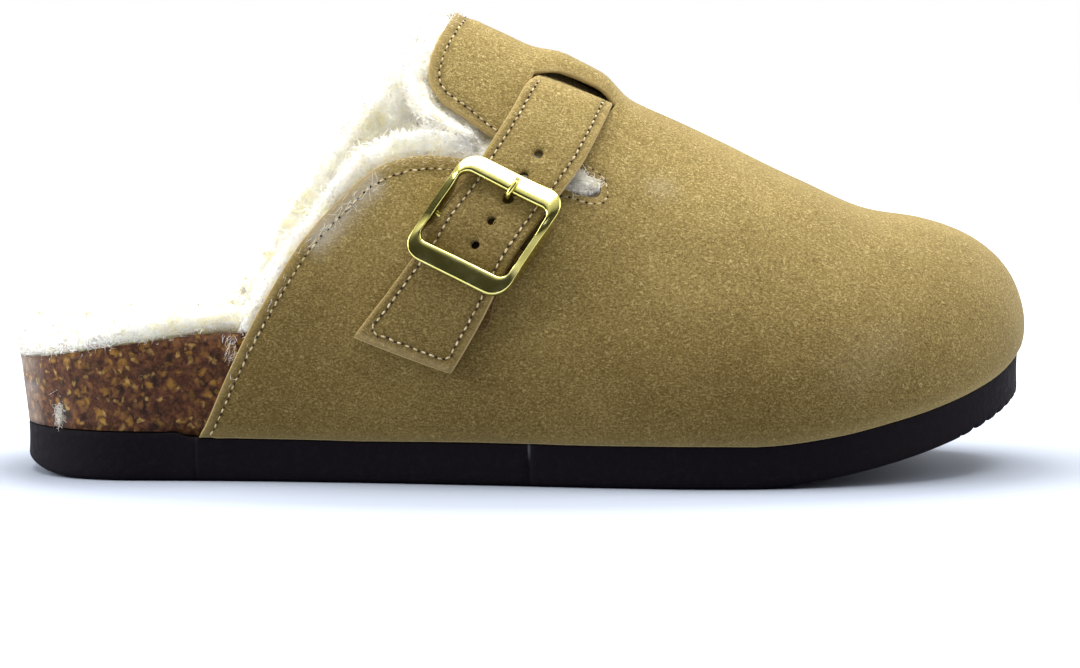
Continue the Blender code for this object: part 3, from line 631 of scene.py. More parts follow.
@dataclass(frozen=True)
class Seat:
    """Where the form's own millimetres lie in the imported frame."""

    x: float
    y: float

    def points(self, form: Array) -> Array:
        """Form points in the frame, in metres."""
        return np.asarray(form, float) * MM + (self.x, self.y, 0.0)

    def mesh(self, name: str, form: Array, faces: list, values: dict[str, Array] | None = None,
             closed: bool = True) -> Mesh:
        """Make a smooth mesh from form points.

        Args:
            name: The mesh's name.
            form: Points in millimetres.
            faces: Faces, as rows of indices.
            values: Numbers or vectors for each point, by name.
            closed: Whether the mesh is a solid whose faces are turned outwards.

        Returns:
            The mesh, in the frame's metres.
        """
        mesh = bpy.data.meshes.new(name)
        mesh.from_pydata(self.points(form).tolist(), [], faces)
        for label, numbers in (values or {}).items():
            vector = np.ndim(numbers) == 2
            layer = mesh.attributes.new(label, "FLOAT_VECTOR" if vector else "FLOAT", "POINT")
            layer.data.foreach_set("vector" if vector else "value", np.asarray(numbers, np.float32).ravel())
        if closed:
            shape = bmesh.new()
            shape.from_mesh(mesh)
            bmesh.ops.remove_doubles(shape, verts=shape.verts, dist=1e-6)
            bmesh.ops.dissolve_degenerate(shape, edges=shape.edges, dist=1e-7)
            bmesh.ops.recalc_face_normals(shape, faces=shape.faces)
            if shape.calc_volume(signed=True) < 0:
                bmesh.ops.reverse_faces(shape, faces=shape.faces)
            shape.to_mesh(mesh)
            shape.free()
        mesh.shade_smooth()
        return mesh


def show(name: str, data: bpy.types.ID, material: Finish | None = None) -> Piece:
    """Put a mesh, a light or a camera in the scene as an object.

    Args:
        name: The object's name.
        data: What it shows.
        material: A mesh's one material.

    Returns:
        The object.
    """
    made = bpy.data.objects.new(name, data)
    bpy.context.scene.collection.objects.link(made)
    if material:
        data.materials.clear()
        data.materials.append(material)
    return made


def evaluated(base: Piece) -> Mesh:
    """An object's mesh with its modifiers applied."""
    graph = bpy.context.evaluated_depsgraph_get()
    return bpy.data.meshes.new_from_object(base.evaluated_get(graph))


def place_piece(made: Piece, slot: Slot, *nodes: str) -> None:
    """Let a piece ride on the body and stand for its nodes.

    Args:
        made: The finished piece.
        slot: The record's slot for it; not used.
        nodes: The nodes that it replaces.
    """
    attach(made, BODY)
    if nodes:
        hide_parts(*nodes)
    triangles = sum(len(face.vertices) - 2 for face in made.data.polygons)
    LOG.info("%s: %d triangles", made.name, triangles)


class Graph:
    """A hand for building one node tree."""

    def __init__(self, tree: Tree) -> None:
        """Keep the tree."""
        self.tree = tree

    def feed(self, socket: Socket, value: object) -> None:
        """Fill one input.

        Args:
            socket: The input.
            value: A socket to link it to, or its value.
        """
        if isinstance(value, Socket):
            self.tree.links.new(value, socket)
        else:
            socket.default_value = value

    def fill(self, node: Node, inputs: dict) -> None:
        """Link or set several inputs of a node, by name or number."""
        for name, value in inputs.items():
            self.feed(node.inputs[name], value)

    def add(self, kind: str, inputs: dict | None = None, **settings: object) -> Node:
        """Add a node.

        Args:
            kind: The node's type.
            inputs: Values or sockets for its inputs, by name or number.
            settings: Its own settings.

        Returns:
            The node.
        """
        node = self.tree.nodes.new(kind)
        for name, value in settings.items():
            setattr(node, name, value)
        self.fill(node, inputs or {})
        return node

    def math(self, operation: str, a: object, b: object = 0.0, clamp: bool = False) -> Socket:
        """The result of a sum of two values."""
        return self.add("ShaderNodeMath", {0: a, 1: b}, operation=operation, use_clamp=clamp).outputs[0]

    def times(self, a: object, b: object) -> Socket:
        """The product of two values."""
        return self.math("MULTIPLY", a, b)

    def blend(self, a: object, a_share: float, b: object, b_share: float) -> Socket:
        """Two values added up by their shares."""
        return self.math("ADD", self.times(a, a_share), self.times(b, b_share))

    def vector(self, operation: str, inputs: dict) -> Node:
        """A node that works on vectors."""
        return self.add("ShaderNodeVectorMath", inputs, operation=operation)

    def mix(self, factor: object, a: object, b: object, kind: str = "MIX") -> Socket:
        """A colour mixed from two.

        Args:
            factor: Share of the second colour.
            a: The first colour.
            b: The second colour.
            kind: How they are mixed.

        Returns:
            The mixed colour.
        """
        first, second = ((*c, 1.0) if isinstance(c, tuple) else c for c in (a, b))
        inputs = {0: factor, 6: first, 7: second}
        return self.add("ShaderNodeMix", inputs, data_type="RGBA", blend_type=kind).outputs[2]

    def span(self, value: object, low: float, high: float, to_low: float = 0.0,
             to_high: float = 1.0) -> Socket:
        """A value moved from one range to another, kept inside it."""
        return self.add("ShaderNodeMapRange", {0: value, 1: low, 2: high, 3: to_low, 4: to_high}).outputs[0]

    def noise(self, vector: object, scale: object, detail: float = 2.0, rough: float = 0.5) -> Socket:
        """Cloudy noise at a scale per metre."""
        inputs = {"Vector": vector, "Scale": scale, "Detail": detail, "Roughness": rough}
        return self.add("ShaderNodeTexNoise", inputs).outputs[0]

    def bent(self, vector: Socket, scale: float, detail: float, reach: float) -> Socket:
        """Coordinates bent by noise, so that a pattern on them loses its straight runs.

        Args:
            vector: Plain coordinates.
            scale: Of the noise, per metre.
            detail: Of the noise.
            reach: How far it bends, in metres.

        Returns:
            The bent coordinates.
        """
        noise = self.add("ShaderNodeTexNoise", {"Vector": vector, "Scale": scale, "Detail": detail})
        shift = self.vector("SUBTRACT", {0: noise.outputs["Color"], 1: (0.5, 0.5, 0.5)})
        small = self.vector("SCALE", {0: shift.outputs[0], "Scale": reach})
        return self.vector("ADD", {0: vector, 1: small.outputs[0]}).outputs[0]

    def colours(self, value: object, stops: Sequence[tuple[float, Colour]]) -> Socket:
        """A value turned into a colour by a ramp.

        Args:
            value: The value.
            stops: The ramp's places and their colours.

        Returns:
            The colour.
        """
        node = self.add("ShaderNodeValToRGB", {0: value})
        ramp_points = node.color_ramp.elements
        while len(ramp_points) < len(stops):
            ramp_points.new(1.0)
        for point, (at, colour) in zip(ramp_points, stops):
            point.position = at
            point.color = (*colour, 1.0)
        return node.outputs[0]

    def attribute(self, name: str, share: float = 1.0) -> Socket:
        """A share of a number that the mesh holds for each point."""
        value = self.add("ShaderNodeAttribute", attribute_name=name).outputs["Fac"]
        return value if share == 1.0 else self.times(value, share)

    def bump(self, height: object, depth: float) -> Socket:
        """A surface direction bumped by a height, over a depth in metres."""
        return self.add("ShaderNodeBump", {"Height": height, "Distance": depth, "Strength": 1.0}).outputs[0]

    def named(self, name: str, kind: str = "FLOAT") -> Socket:
        """A value that the points of a geometry hold by name."""
        return self.add("GeometryNodeInputNamedAttribute", {"Name": name}, data_type=kind).outputs[0]

    def chance(self, kind: str, low: object, high: object, seed: object) -> Socket:
        """A random value between two limits.

        Args:
            kind: The type of the value.
            low: Lower limit.
            high: Upper limit.
            seed: Source of chance.

        Returns:
            The value.
        """
        first, output = {"FLOAT_VECTOR": (0, 0), "FLOAT": (2, 1), "INT": (4, 2)}[kind]
        inputs = {first: low, first + 1: high, "Seed": seed}
        return self.add("FunctionNodeRandomValue", inputs, data_type=kind).outputs[output]

    def turned(self, rotation: Socket, angles: Socket) -> Socket:
        """A rotation with a turn of its own on top.

        Args:
            rotation: The rotation.
            angles: Angles of the turn.

        Returns:
            Both together.
        """
        turn = self.add("FunctionNodeEulerToRotation", {0: angles}).outputs[0]
        both = {0: rotation, 1: turn}
        return self.add("FunctionNodeRotateRotation", both, rotation_space="LOCAL").outputs[0]

    def dressed(self, instances: Socket, finish: Socket) -> Socket:
        """Instances made real and smooth, with their material.

        Args:
            instances: The instances.
            finish: Their material.

        Returns:
            The geometry.
        """
        real = self.add("GeometryNodeRealizeInstances", {"Geometry": instances})
        smooth = self.add("GeometryNodeSetShadeSmooth", {0: real.outputs[0]})
        return self.add("GeometryNodeSetMaterial", {0: smooth.outputs[0], "Material": finish}).outputs[0]


def new_group(name: str, tree_type: str, inputs: dict[str, str],
              outputs: dict[str, str]) -> tuple[Graph, dict, dict]:
    """Start a node group with named sockets.

    Args:
        name: The group's name.
        tree_type: The type of its tree.
        inputs: Kinds of its inputs, by name.
        outputs: Kinds of its outputs, by name.

    Returns:
        A hand for its tree, its input sockets and its output sockets, by name.
    """
    tree = bpy.data.node_groups.new(name, tree_type)
    for in_out, sockets in (("INPUT", inputs), ("OUTPUT", outputs)):
        for label, kind in sockets.items():
            tree.interface.new_socket(label, in_out=in_out, socket_type=f"NodeSocket{kind}")
    start, end = tree.nodes.new("NodeGroupInput"), tree.nodes.new("NodeGroupOutput")
    return Graph(tree), dict(start.outputs.items()), dict(end.inputs.items())


def nap_group() -> Tree:
    """Brushed nap: short light and dark fibres over broad patches, shared by every suede piece.

    Returns:
        The group, with the fibres' shade and height, masks of pale flecks and of patches.
    """
    if "brushed_nap" in bpy.data.node_groups:
        return bpy.data.node_groups["brushed_nap"]
    graph, given, result = new_group(
        "brushed_nap", "ShaderNodeTree", {"Vector": "Vector", "Fibre": "Float", "Patch": "Float"},
        {"Shade": "Float", "Fleck": "Float", "Patches": "Float", "Height": "Float"})
    bent = graph.bent(given["Vector"], 260.0, 1.0, 0.0022)
    fibres = []
    for turn, stretch in (((0.4, 0.2, 0.5), (1.0, 0.45, 1.0)), ((1.1, 0.9, -0.7), (0.45, 1.0, 1.0))):
        turned = graph.add("ShaderNodeMapping", {"Vector": bent, "Rotation": turn, "Scale": stretch})
        fibres.append(graph.noise(turned.outputs[0], given["Fibre"], 3.0, 0.62))
    fibre = graph.blend(fibres[0], 0.5, fibres[1], 0.5)
    patch = graph.noise(given["Vector"], given["Patch"], 4.0, 0.6)
    clusters = graph.noise(given["Vector"], 330.0)
    graph.feed(result["Shade"], graph.span(fibre, 0.33, 0.67))
    bunches = graph.span(clusters, 0.40, 0.62, 0.15)
    graph.feed(result["Fleck"], graph.times(graph.span(fibre, 0.53, 0.66), bunches))
    graph.feed(result["Patches"], graph.span(patch, 0.3, 0.7))
    graph.feed(result["Height"], fibre)
    return graph.tree


def lumps_group() -> Tree:
    """Two sizes of lumps and their hollows, shared by foam, cork and fleece.

    Returns:
        The group, with a height and a mask of its hollows.
    """
    if "fine_lumps" in bpy.data.node_groups:
        return bpy.data.node_groups["fine_lumps"]
    graph, given, result = new_group(
        "fine_lumps", "ShaderNodeTree", {"Vector": "Vector", "Coarse": "Float", "Fine": "Float"},
        {"Height": "Float", "Hollow": "Float"})
    coarse = graph.noise(given["Vector"], given["Coarse"])
    fine = graph.noise(given["Vector"], given["Fine"], 3.0)
    total = graph.blend(coarse, 0.6, fine, 0.4)
    graph.feed(result["Height"], total)
    graph.feed(result["Hollow"], graph.span(total, 0.5, 0.36))
    return graph.tree


@dataclass
class Coat:
    """A material under way, with its shader and the piece's own coordinates."""

    name: str
    made: Finish = field(init=False)
    graph: Graph = field(init=False)
    shader: Node = field(init=False)
    where: Socket = field(init=False)

    def __post_init__(self) -> None:
        """Start the material."""
        self.made = bpy.data.materials.new(self.name)
        self.made.use_nodes = True
        self.graph = Graph(self.made.node_tree)
        self.shader = self.made.node_tree.nodes["Principled BSDF"]
        self.where = self.graph.add("ShaderNodeTexCoord").outputs["Object"]

    def effect(self, tree: Tree, **sizes: float) -> bpy.types.bpy_prop_collection:
        """Place a shared effect with its own sizes, and give its outputs."""
        inputs = {"Vector": self.where, **sizes}
        return self.graph.add("ShaderNodeGroup", inputs, node_tree=tree).outputs

    def done(self, inputs: dict) -> Finish:
        """Fill the shader's inputs by name, and give the material."""
        self.graph.fill(self.shader, inputs)
        return self.made


@dataclass(frozen=True)
class SuedeFinish:
    """Khaki suede with a brushed nap, pale cut edges, rubbed places, painted shade and a painted highlight.
    """

    name: str
    deep: Colour = (0.078, 0.050, 0.014)
    base: Colour = (0.236, 0.170, 0.054)
    light: Colour = (0.455, 0.360, 0.150)
    fleck: Colour = (0.620, 0.500, 0.250)
    cut: Colour = (0.400, 0.290, 0.120)
    rubbed: Colour = (0.500, 0.460, 0.390)
    shadow: Colour = (0.48, 0.435, 0.36)
    fibre: float = 2300.0
    patch: float = 42.0
    nap_depth: float = 0.00034

    def material(self) -> Finish:
        """Build the material.

        Returns:
            The material, reading the tone, edge, stitch, scuff and low attributes.
        """
        coat = Coat(self.name)
        graph = coat.graph
        nap = coat.effect(nap_group(), Fibre=self.fibre, Patch=self.patch)
        shade = graph.blend(nap["Shade"], 0.86, nap["Patches"], 0.14)
        colour = graph.colours(shade, ((0.0, self.deep), (0.48, self.base), (1.0, self.light)))
        colour = graph.mix(graph.times(nap["Fleck"], 0.6), colour, self.fleck)
        # Painted shade: tone multiplies in the shadow colour
        colour = graph.mix(graph.attribute("tone"), colour, self.shadow, "MULTIPLY")
        # Pale cut edges, and on the upper a painted highlight along the slot's lip
        colour = graph.mix(graph.attribute("edge", 0.75), colour, self.cut)
        # Painted shade in the deep colour: along the seams, under the buckle's frame and on punched holes'
        # walls
        colour = graph.mix(graph.attribute("stitch", 0.45), colour, self.deep)
        streak = graph.span(nap["Patches"], 0.1, 0.9, 0.45)
        rub = graph.math("MULTIPLY", graph.attribute("scuff"), streak, clamp=True)
        colour = graph.mix(rub, colour, self.rubbed)
        colour = graph.mix(graph.attribute("low", 0.35), colour, self.light)
        return coat.done({
            "Base Color": colour, "Roughness": 0.93, "Specular IOR Level": 0.12, "Sheen Weight": 0.28,
            "Sheen Roughness": 0.45, "Sheen Tint": (0.95, 0.82, 0.52, 1.0),
            "Normal": graph.bump(nap["Height"], self.nap_depth)})


@dataclass(frozen=True)
class FleeceFinish:
    """Cream wool pile."""

    name: str
    base: Colour = (0.975, 0.945, 0.85)
    hollow: Colour = (0.95, 0.84, 0.50)
    lump_depth: float = 0.0016

    def material(self) -> Finish:
        """Build the material.

        Returns:
            The material.
        """
        coat = Coat(self.name)
        graph = coat.graph
        lumps = coat.effect(lumps_group(), Coarse=160.0, Fine=900.0)
        return coat.done({
            "Base Color": graph.mix(graph.times(lumps["Hollow"], 0.55), self.base, self.hollow),
            "Roughness": 0.95, "Specular IOR Level": 0.1, "Sheen Weight": 0.5, "Sheen Roughness": 0.5,
            "Subsurface Weight": 0.5, "Subsurface Radius": (1.0, 0.9, 0.65), "Subsurface Scale": 0.005,
            "Normal": graph.bump(lumps["Height"], self.lump_depth)})


@dataclass(frozen=True)
class CorkFinish:
    """Pressed cork: dark red-brown granules with ochre, tan and near black flecks; pale at the heel, a
    painted sheen with dust.
    """

    name: str
    dark: Colour = (0.020, 0.0075, 0.0035)
    middle: Colour = (0.072, 0.025, 0.011)
    warm: Colour = (0.150, 0.060, 0.024)
    dust: Colour = (0.40, 0.35, 0.30)
    flecks: tuple[tuple[float, float, Colour], ...] = (
        (330.0, 0.66, (0.010, 0.005, 0.003)),
        (480.0, 0.56, (0.185, 0.076, 0.022)),
        (390.0, 0.66, (0.300, 0.150, 0.026)),
        (620.0, 0.82, (0.400, 0.245, 0.070)),
    )
    grain_depth: float = 0.00045

    def material(self) -> Finish:
        """Build the material.

        Returns:
            The material, reading the dusty attribute.
        """
        coat = Coat(self.name)
        graph = coat.graph
        bent = graph.bent(coat.where, 520.0, 3.0, 0.0034)
        lumps = coat.effect(lumps_group(), Coarse=480.0, Fine=1700.0)
        ground = graph.noise(coat.where, 620.0, 5.0, 0.7)
        colour = graph.colours(ground, ((0.34, self.dark), (0.50, self.middle), (0.68, self.warm)))
        for i, (scale, share, tone) in enumerate(self.flecks):
            cells = graph.add("ShaderNodeTexVoronoi", {"Vector": bent, "Scale": scale})
            pick = graph.add("ShaderNodeSeparateColor", {0: cells.outputs["Color"]}).outputs[i % 3]
            chosen = graph.span(pick, share, share + 0.06)
            core = graph.span(cells.outputs["Distance"], 0.58, 0.18)
            colour = graph.mix(graph.times(graph.times(chosen, core), 0.9), colour, tone)
        colour = graph.mix(graph.times(lumps["Hollow"], 0.45), colour, self.dark)
        return coat.done({
            # Pale grey at the heel end: painted sheen, with dust and lint
            "Base Color": graph.mix(graph.attribute("dust_and_sheen"), colour, self.dust),
            "Roughness": graph.span(lumps["Height"], 0.35, 0.65, 0.72, 0.52), "Specular IOR Level": 0.18,
            "Normal": graph.bump(lumps["Height"], self.grain_depth)})


@dataclass(frozen=True)
class FoamFinish:
    """Matt black foam with a fine pebbled skin."""

    name: str
    base: Colour = (0.0046, 0.0030, 0.0050)
    dust: Colour = (0.014, 0.011, 0.014)
    scratch: Colour = (0.30, 0.29, 0.30)
    pebble_depth: float = 0.00030

    def material(self) -> Finish:
        """Build the material.

        Returns:
            The material, reading the mould attribute.
        """
        coat = Coat(self.name)
        graph = coat.graph
        lumps = coat.effect(lumps_group(), Coarse=520.0, Fine=1500.0)
        colour = graph.mix(graph.times(lumps["Hollow"], 0.35), self.base, self.dust)
        return coat.done({
            "Base Color": graph.mix(graph.attribute("mould"), colour, self.scratch),
            "Roughness": graph.span(lumps["Height"], 0.3, 0.7, 0.85, 0.62), "Specular IOR Level": 0.08,
            "Normal": graph.bump(lumps["Height"], self.pebble_depth)})


@dataclass(frozen=True)
class BrassFinish:
    """Polished pale gold plate, a little rubbed."""

    name: str
    base: Colour = (0.70, 0.64, 0.19)
    rubbed: Colour = (0.75, 0.70, 0.29)

    def material(self) -> Finish:
        """Build the material.

        Returns:
            The material.
        """
        coat = Coat(self.name)
        graph = coat.graph
        wear = graph.noise(coat.where, 260.0, 4.0, 0.6)
        return coat.done({
            "Base Color": graph.mix(graph.span(wear, 0.45, 0.7), self.base, self.rubbed), "Metallic": 1.0,
            "Roughness": graph.span(wear, 0.3, 0.7, 0.12, 0.22),
            "Normal": graph.bump(graph.noise(coat.where, 1800.0), 0.000012)})


@dataclass(frozen=True)
class ThreadFinish:
    """Cream sewing thread."""

    name: str
    base: Colour = (0.66, 0.55, 0.34)
    dark: Colour = (0.42, 0.31, 0.15)

    def material(self) -> Finish:
        """Build the material.

        Returns:
            The material.
        """
        coat = Coat(self.name)
        graph = coat.graph
        tone = graph.span(graph.noise(coat.where, 700.0), 0.35, 0.65)
        return coat.done({
            "Base Color": graph.mix(tone, self.dark, self.base), "Roughness": 0.7,
            "Normal": graph.bump(graph.noise(coat.where, 5000.0), 0.00006)})


@dataclass(frozen=True)
class DarkFinish:
    """The shade inside a needle hole or a punched one."""

    name: str
    base: Colour = (0.012, 0.007, 0.003)
    light: Colour = (0.03, 0.02, 0.008)

    def material(self) -> Finish:
        """Build the material.

        Returns:
            The material.
        """
        coat = Coat(self.name)
        tone = coat.graph.noise(coat.where, 900.0)
        return coat.done({"Base Color": coat.graph.mix(tone, self.base, self.light), "Roughness": 1.0})


@dataclass(frozen=True)
class FloorFinish:
    """White studio sweep, faintly blue in the shoe's shadow and glowing white outside an oval round it."""

    name: str
    base: Colour = (0.31, 0.345, 0.42)
    white: Colour = (1.0, 1.0, 1.0)
    reach: Pair = (0.185, 0.105)
    lit: Pair = (0.74, 1.6)
    glow: float = 0.95

    def material(self) -> Finish:
        """Build the material.

        Returns:
            The material.
        """
        coat = Coat(self.name)
        graph = coat.graph
        tone = graph.times(graph.noise(coat.where, 3.0), 0.05)
        oval = graph.vector("MULTIPLY", {0: coat.where, 1: (1 / self.reach[0], 1 / self.reach[1], 1.0)})
        away = graph.vector("LENGTH", {0: oval.outputs[0]}).outputs["Value"]
        return coat.done({
            "Base Color": graph.mix(tone, self.base, self.white), "Roughness": 0.6,
            "Specular IOR Level": 0.15, "Emission Color": (*self.white, 1.0),
            "Emission Strength": graph.span(away, *self.lit, 0.0, self.glow)})


@dataclass(frozen=True)
class Last:
    """The foot form that the sole and the upper follow."""

    length: float = 264.0
    heel_x: float = 34.0
    ball_x: float = 180.0
    toe_tip_y: float = 7.0
    heel_round: float = 2.2
    toe_round_outer: float = 2.0
    toe_round_inner: float = 2.5
    spring: float = 16.5
    spring_x: float = 190.0
    spring_power: float = 1.6
    tip_rise: float = 3.0
    tip_power: float = 8.0
    heel_bevel: float = 3.2
    heel_bevel_x: float = 15.0
    seat_step: float = 1.2
    seat_x: Pair = (42.0, 46.0)
    cup_power: float = 3.0
    grow: float = 0.6
    gap: float = 0.3
    bulge_power: float = 0.6
    spine_bend_x: float = 170.0
    spine_end_x: float = 224.0

    def station(self, k: Number) -> Array:
        """x of a station: k runs from 0 at the heel to 1 at the toe, closer set at both ends."""
        return self.length * (1 - np.cos(np.pi * np.asarray(k, float))) / 2

    def place(self, x: Number) -> Array:
        """The station at x."""
        return np.arccos(np.clip(1 - 2 * np.asarray(x, float) / self.length, -1, 1)) / np.pi

    def outline_y(self, x: Array, side: Side) -> Array:
        """y of the sole's outline, round at the heel and the toe.

        Args:
            x: Places along the sole.
            side: Which side of it.

        Returns:
            The y of each place.
        """
        toe_round = self.toe_round_outer if side is Side.OUTER else self.toe_round_inner
        heel = np.clip((self.heel_x - x) / self.heel_x, 0, 1)
        toe = np.clip((x - self.ball_x) / (self.length - self.ball_x), 0, 1)
        heel = (1 - heel ** self.heel_round) ** (1 / self.heel_round)
        toe = (1 - toe ** toe_round) ** (1 / toe_round)
        half = along(OUTLINE, side.name.lower(), x, level=True)
        return self.toe_tip_y * (1 - toe) + side.value * half * toe * heel

    def edge(self, k: Number, side: Side, grow: Number = 0.0) -> tuple[Array, Array]:
        """The outline, moved outwards.

        Args:
            k: Stations.
            side: Which side of the sole.
            grow: How far it moves.

        Returns:
            x and y of each station.
        """
        k = np.asarray(k, float)
        step = 1e-4
        before, after = np.clip(k - step, 0, 1), np.clip(k + step, 0, 1)
        run = self.station(after) - self.station(before)
        turn = self.outline_y(self.station(after), side) - self.outline_y(self.station(before), side)
        end = (k <= 0) | (k >= 1)
        turn, run = np.where(end, np.sign(turn), turn), np.where(end, 0.0, run)
        size = np.hypot(run, turn)
        x = self.station(k)
        return x - grow * side.value * turn / size, self.outline_y(x, side) + grow * side.value * run / size

    def toe_spring(self, x: Number) -> Array:
        """Lift of the sole towards the toe.

        Args:
            x: Places along the sole.

        Returns:
            The lift at each place.
        """
        part = np.clip((x - self.spring_x) / (self.length - self.spring_x), 0, None)
        tip = self.tip_rise * np.minimum(part, 1) ** self.tip_power
        return self.spring * part ** self.spring_power + tip

    def sole_bottom(self, x: Number) -> Array:
        """Bottom of the outsole: flat from the heel's bevel to the toe spring."""
        return self.toe_spring(x) + self.heel_bevel * np.clip(1 - x / self.heel_bevel_x, 0, 1) ** 2

    def sole_top(self, x: Number) -> Array:
        """Top of the outsole, a step lower where the upper sits on it."""
        return self.toe_spring(x) + along(SOLE, "thick", x) - self.seat_step * ramp(x, *self.seat_x)

    def footbed_z(self, x: Number, across: Number) -> Array:
        """Top of the cork.

        Args:
            x: Places along the sole.
            across: Places across it, from -1 at the outer rim to 1 at the inner rim.

        Returns:
            The height at each place.
        """
        centre = along(FOOTBED, "centre", x)
        rim = np.where(np.asarray(across) < 0, along(FOOTBED, "outer", x), along(FOOTBED, "inner", x))
        return self.toe_spring(x) + centre + (rim - centre) * np.abs(across) ** self.cup_power

    def spine_x(self, x: Array) -> Array:
        """Where the sections meet the ridge: near the toe they fan out.

        Args:
            x: Where they start on the sole.

        Returns:
            The x of each on the ridge.
        """
        reach, span = self.length - self.spine_bend_x, self.spine_end_x - self.spine_bend_x
        part = np.clip((x - self.spine_bend_x) / reach, 0, 1)
        return np.minimum(x, self.spine_bend_x) + span * (1 - (1 - part) ** (reach / span))

    def point(self, k: Number, girth: Number) -> Array:
        """The outer face of the upper, without the strap's tunnel.

        Args:
            k: Stations.
            girth: Girths.

        Returns:
            The points.
        """
        k, girth = np.broadcast_arrays(np.asarray(k, float), np.asarray(girth, float))
        outer_x, outer_y = self.edge(k, Side.OUTER, self.grow)
        inner_x, inner_y = self.edge(k, Side.INNER, self.grow)
        foot_x, foot_y = np.where(girth < 0, outer_x, inner_x), np.where(girth < 0, outer_y, inner_y)
        start = self.station(k)
        top_x = self.spine_x(start)
        top_y = along(SECTIONS, "ridge_y", top_x)
        swing = (1 - np.abs(girth)) * np.pi / 2
        inward = 1 - np.clip(np.cos(swing), 0, 1) ** (2 / along(SECTIONS, "crown", start))
        rise = np.sin(swing) ** (2 / along(SECTIONS, "wall", start))
        x = foot_x + (top_x - foot_x) * inward
        y = foot_y + (top_y - foot_y) * inward
        low = self.sole_top(foot_x) + self.gap
        z = low + (along(SECTIONS, "ridge_z", x) - low) * rise
        away = np.hypot(foot_x - top_x, foot_y - top_y)
        swell = along(SECTIONS, "bulge", start) * np.sin(np.pi * rise ** self.bulge_power) / away
        return np.stack([x + (foot_x - top_x) * swell, y + (foot_y - top_y) * swell, z], -1)

    def normal(self, k: Number, girth: Number) -> Array:
        """The outward direction of that face.

        Args:
            k: Stations.
            girth: Girths.

        Returns:
            Directions, one long.
        """
        k, girth = np.broadcast_arrays(np.asarray(k, float), np.asarray(girth, float))
        step = 2e-3
        ahead, behind = np.clip(k + step, 0, 1), np.clip(k - step, 0, 1)
        low, high = np.clip(girth - step, -1, 1), np.clip(girth + step, -1, 1)
        low = np.where(girth > 0, np.maximum(low, 0), low)
        high = np.where(girth < 0, np.minimum(high, 0), high)
        forward = self.point(ahead, girth) - self.point(behind, girth)
        return unit(np.cross(forward, self.point(k, high) - self.point(k, low)))


@dataclass
class StrapRun:
    """The strap's own space on the last: along it, across it and off the face."""

    last: Last
    slot_girth: float = -0.220
    tail_girth: float = -0.811
    thick: float = 2.2
    samples: int = 400
    girths: Array = field(init=False)
    lengths: Array = field(init=False)
    tail: float = field(init=False)

    def __post_init__(self) -> None:
        """Measure the strap's middle line from the slot."""
        self.girths = np.linspace(STRAP_PATH[-1].girth, STRAP_PATH[0].girth, self.samples)
        length = lengths_of(self.middle(self.girths))
        self.lengths = length - np.interp(-self.slot_girth, -self.girths, length)
        self.tail = float(np.interp(-self.tail_girth, -self.girths, self.lengths))

    def middle(self, girth: Array) -> Array:
        """Points of the strap's middle line on the last."""
        return self.last.point(self.last.place(along(STRAP_PATH, "x", girth)), girth)

    def where(self, at: Number, across: Number) -> tuple[Array, Array]:
        """The place on the last under a point of the strap.

        Args:
            at: Lengths from the slot.
            across: Distances across, to the toe.

        Returns:
            x and girth.
        """
        last = self.last
        at = at - along(STRAP, "skew", at) * across
        girth = np.interp(at, self.lengths, self.girths)
        x = along(STRAP_PATH, "x", girth)
        here = last.point(last.place(x), girth)
        x_step, girth_step, at_step = 0.1, 1e-3, 0.5
        by_x = (last.point(last.place(x + x_step), girth) - here) / x_step
        by_girth = (last.point(last.place(x), girth - girth_step) - here) / -girth_step
        after = np.interp(at + at_step, self.lengths, self.girths)
        before = np.interp(at - at_step, self.lengths, self.girths)
        down = self.middle(after) - self.middle(before)
        side = unit(np.cross(unit(np.cross(by_x, by_girth)), unit(down)))
        xx, gg, xg = ((a * b).sum(-1) for a, b in ((by_x, by_x), (by_girth, by_girth), (by_x, by_girth)))
        sx, sg = (side * by_x).sum(-1), (side * by_girth).sum(-1)
        size = xx * gg - xg * xg
        return x + across * (sx * gg - sg * xg) / size, girth + across * (sg * xx - sx * xg) / size

    def point(self, at: Number, across: Number, lift: Number) -> Array:
        """A point of the strap's space.

        Args:
            at: Lengths from the slot.
            across: Distances across, to the toe.
            lift: Heights off the last's face.

        Returns:
            The points.
        """
        at, across, lift = np.broadcast_arrays(*(np.asarray(v, float) for v in (at, across, lift)))
        x, girth = self.where(at, across)
        k = self.last.place(x)
        return self.last.point(k, girth) + self.last.normal(k, girth) * lift[..., None]

    def normal(self, at: Number, across: Number) -> Array:
        """The outward direction under a point of the strap."""
        x, girth = self.where(np.asarray(at, float), np.asarray(across, float))
        return self.last.normal(self.last.place(x), girth)


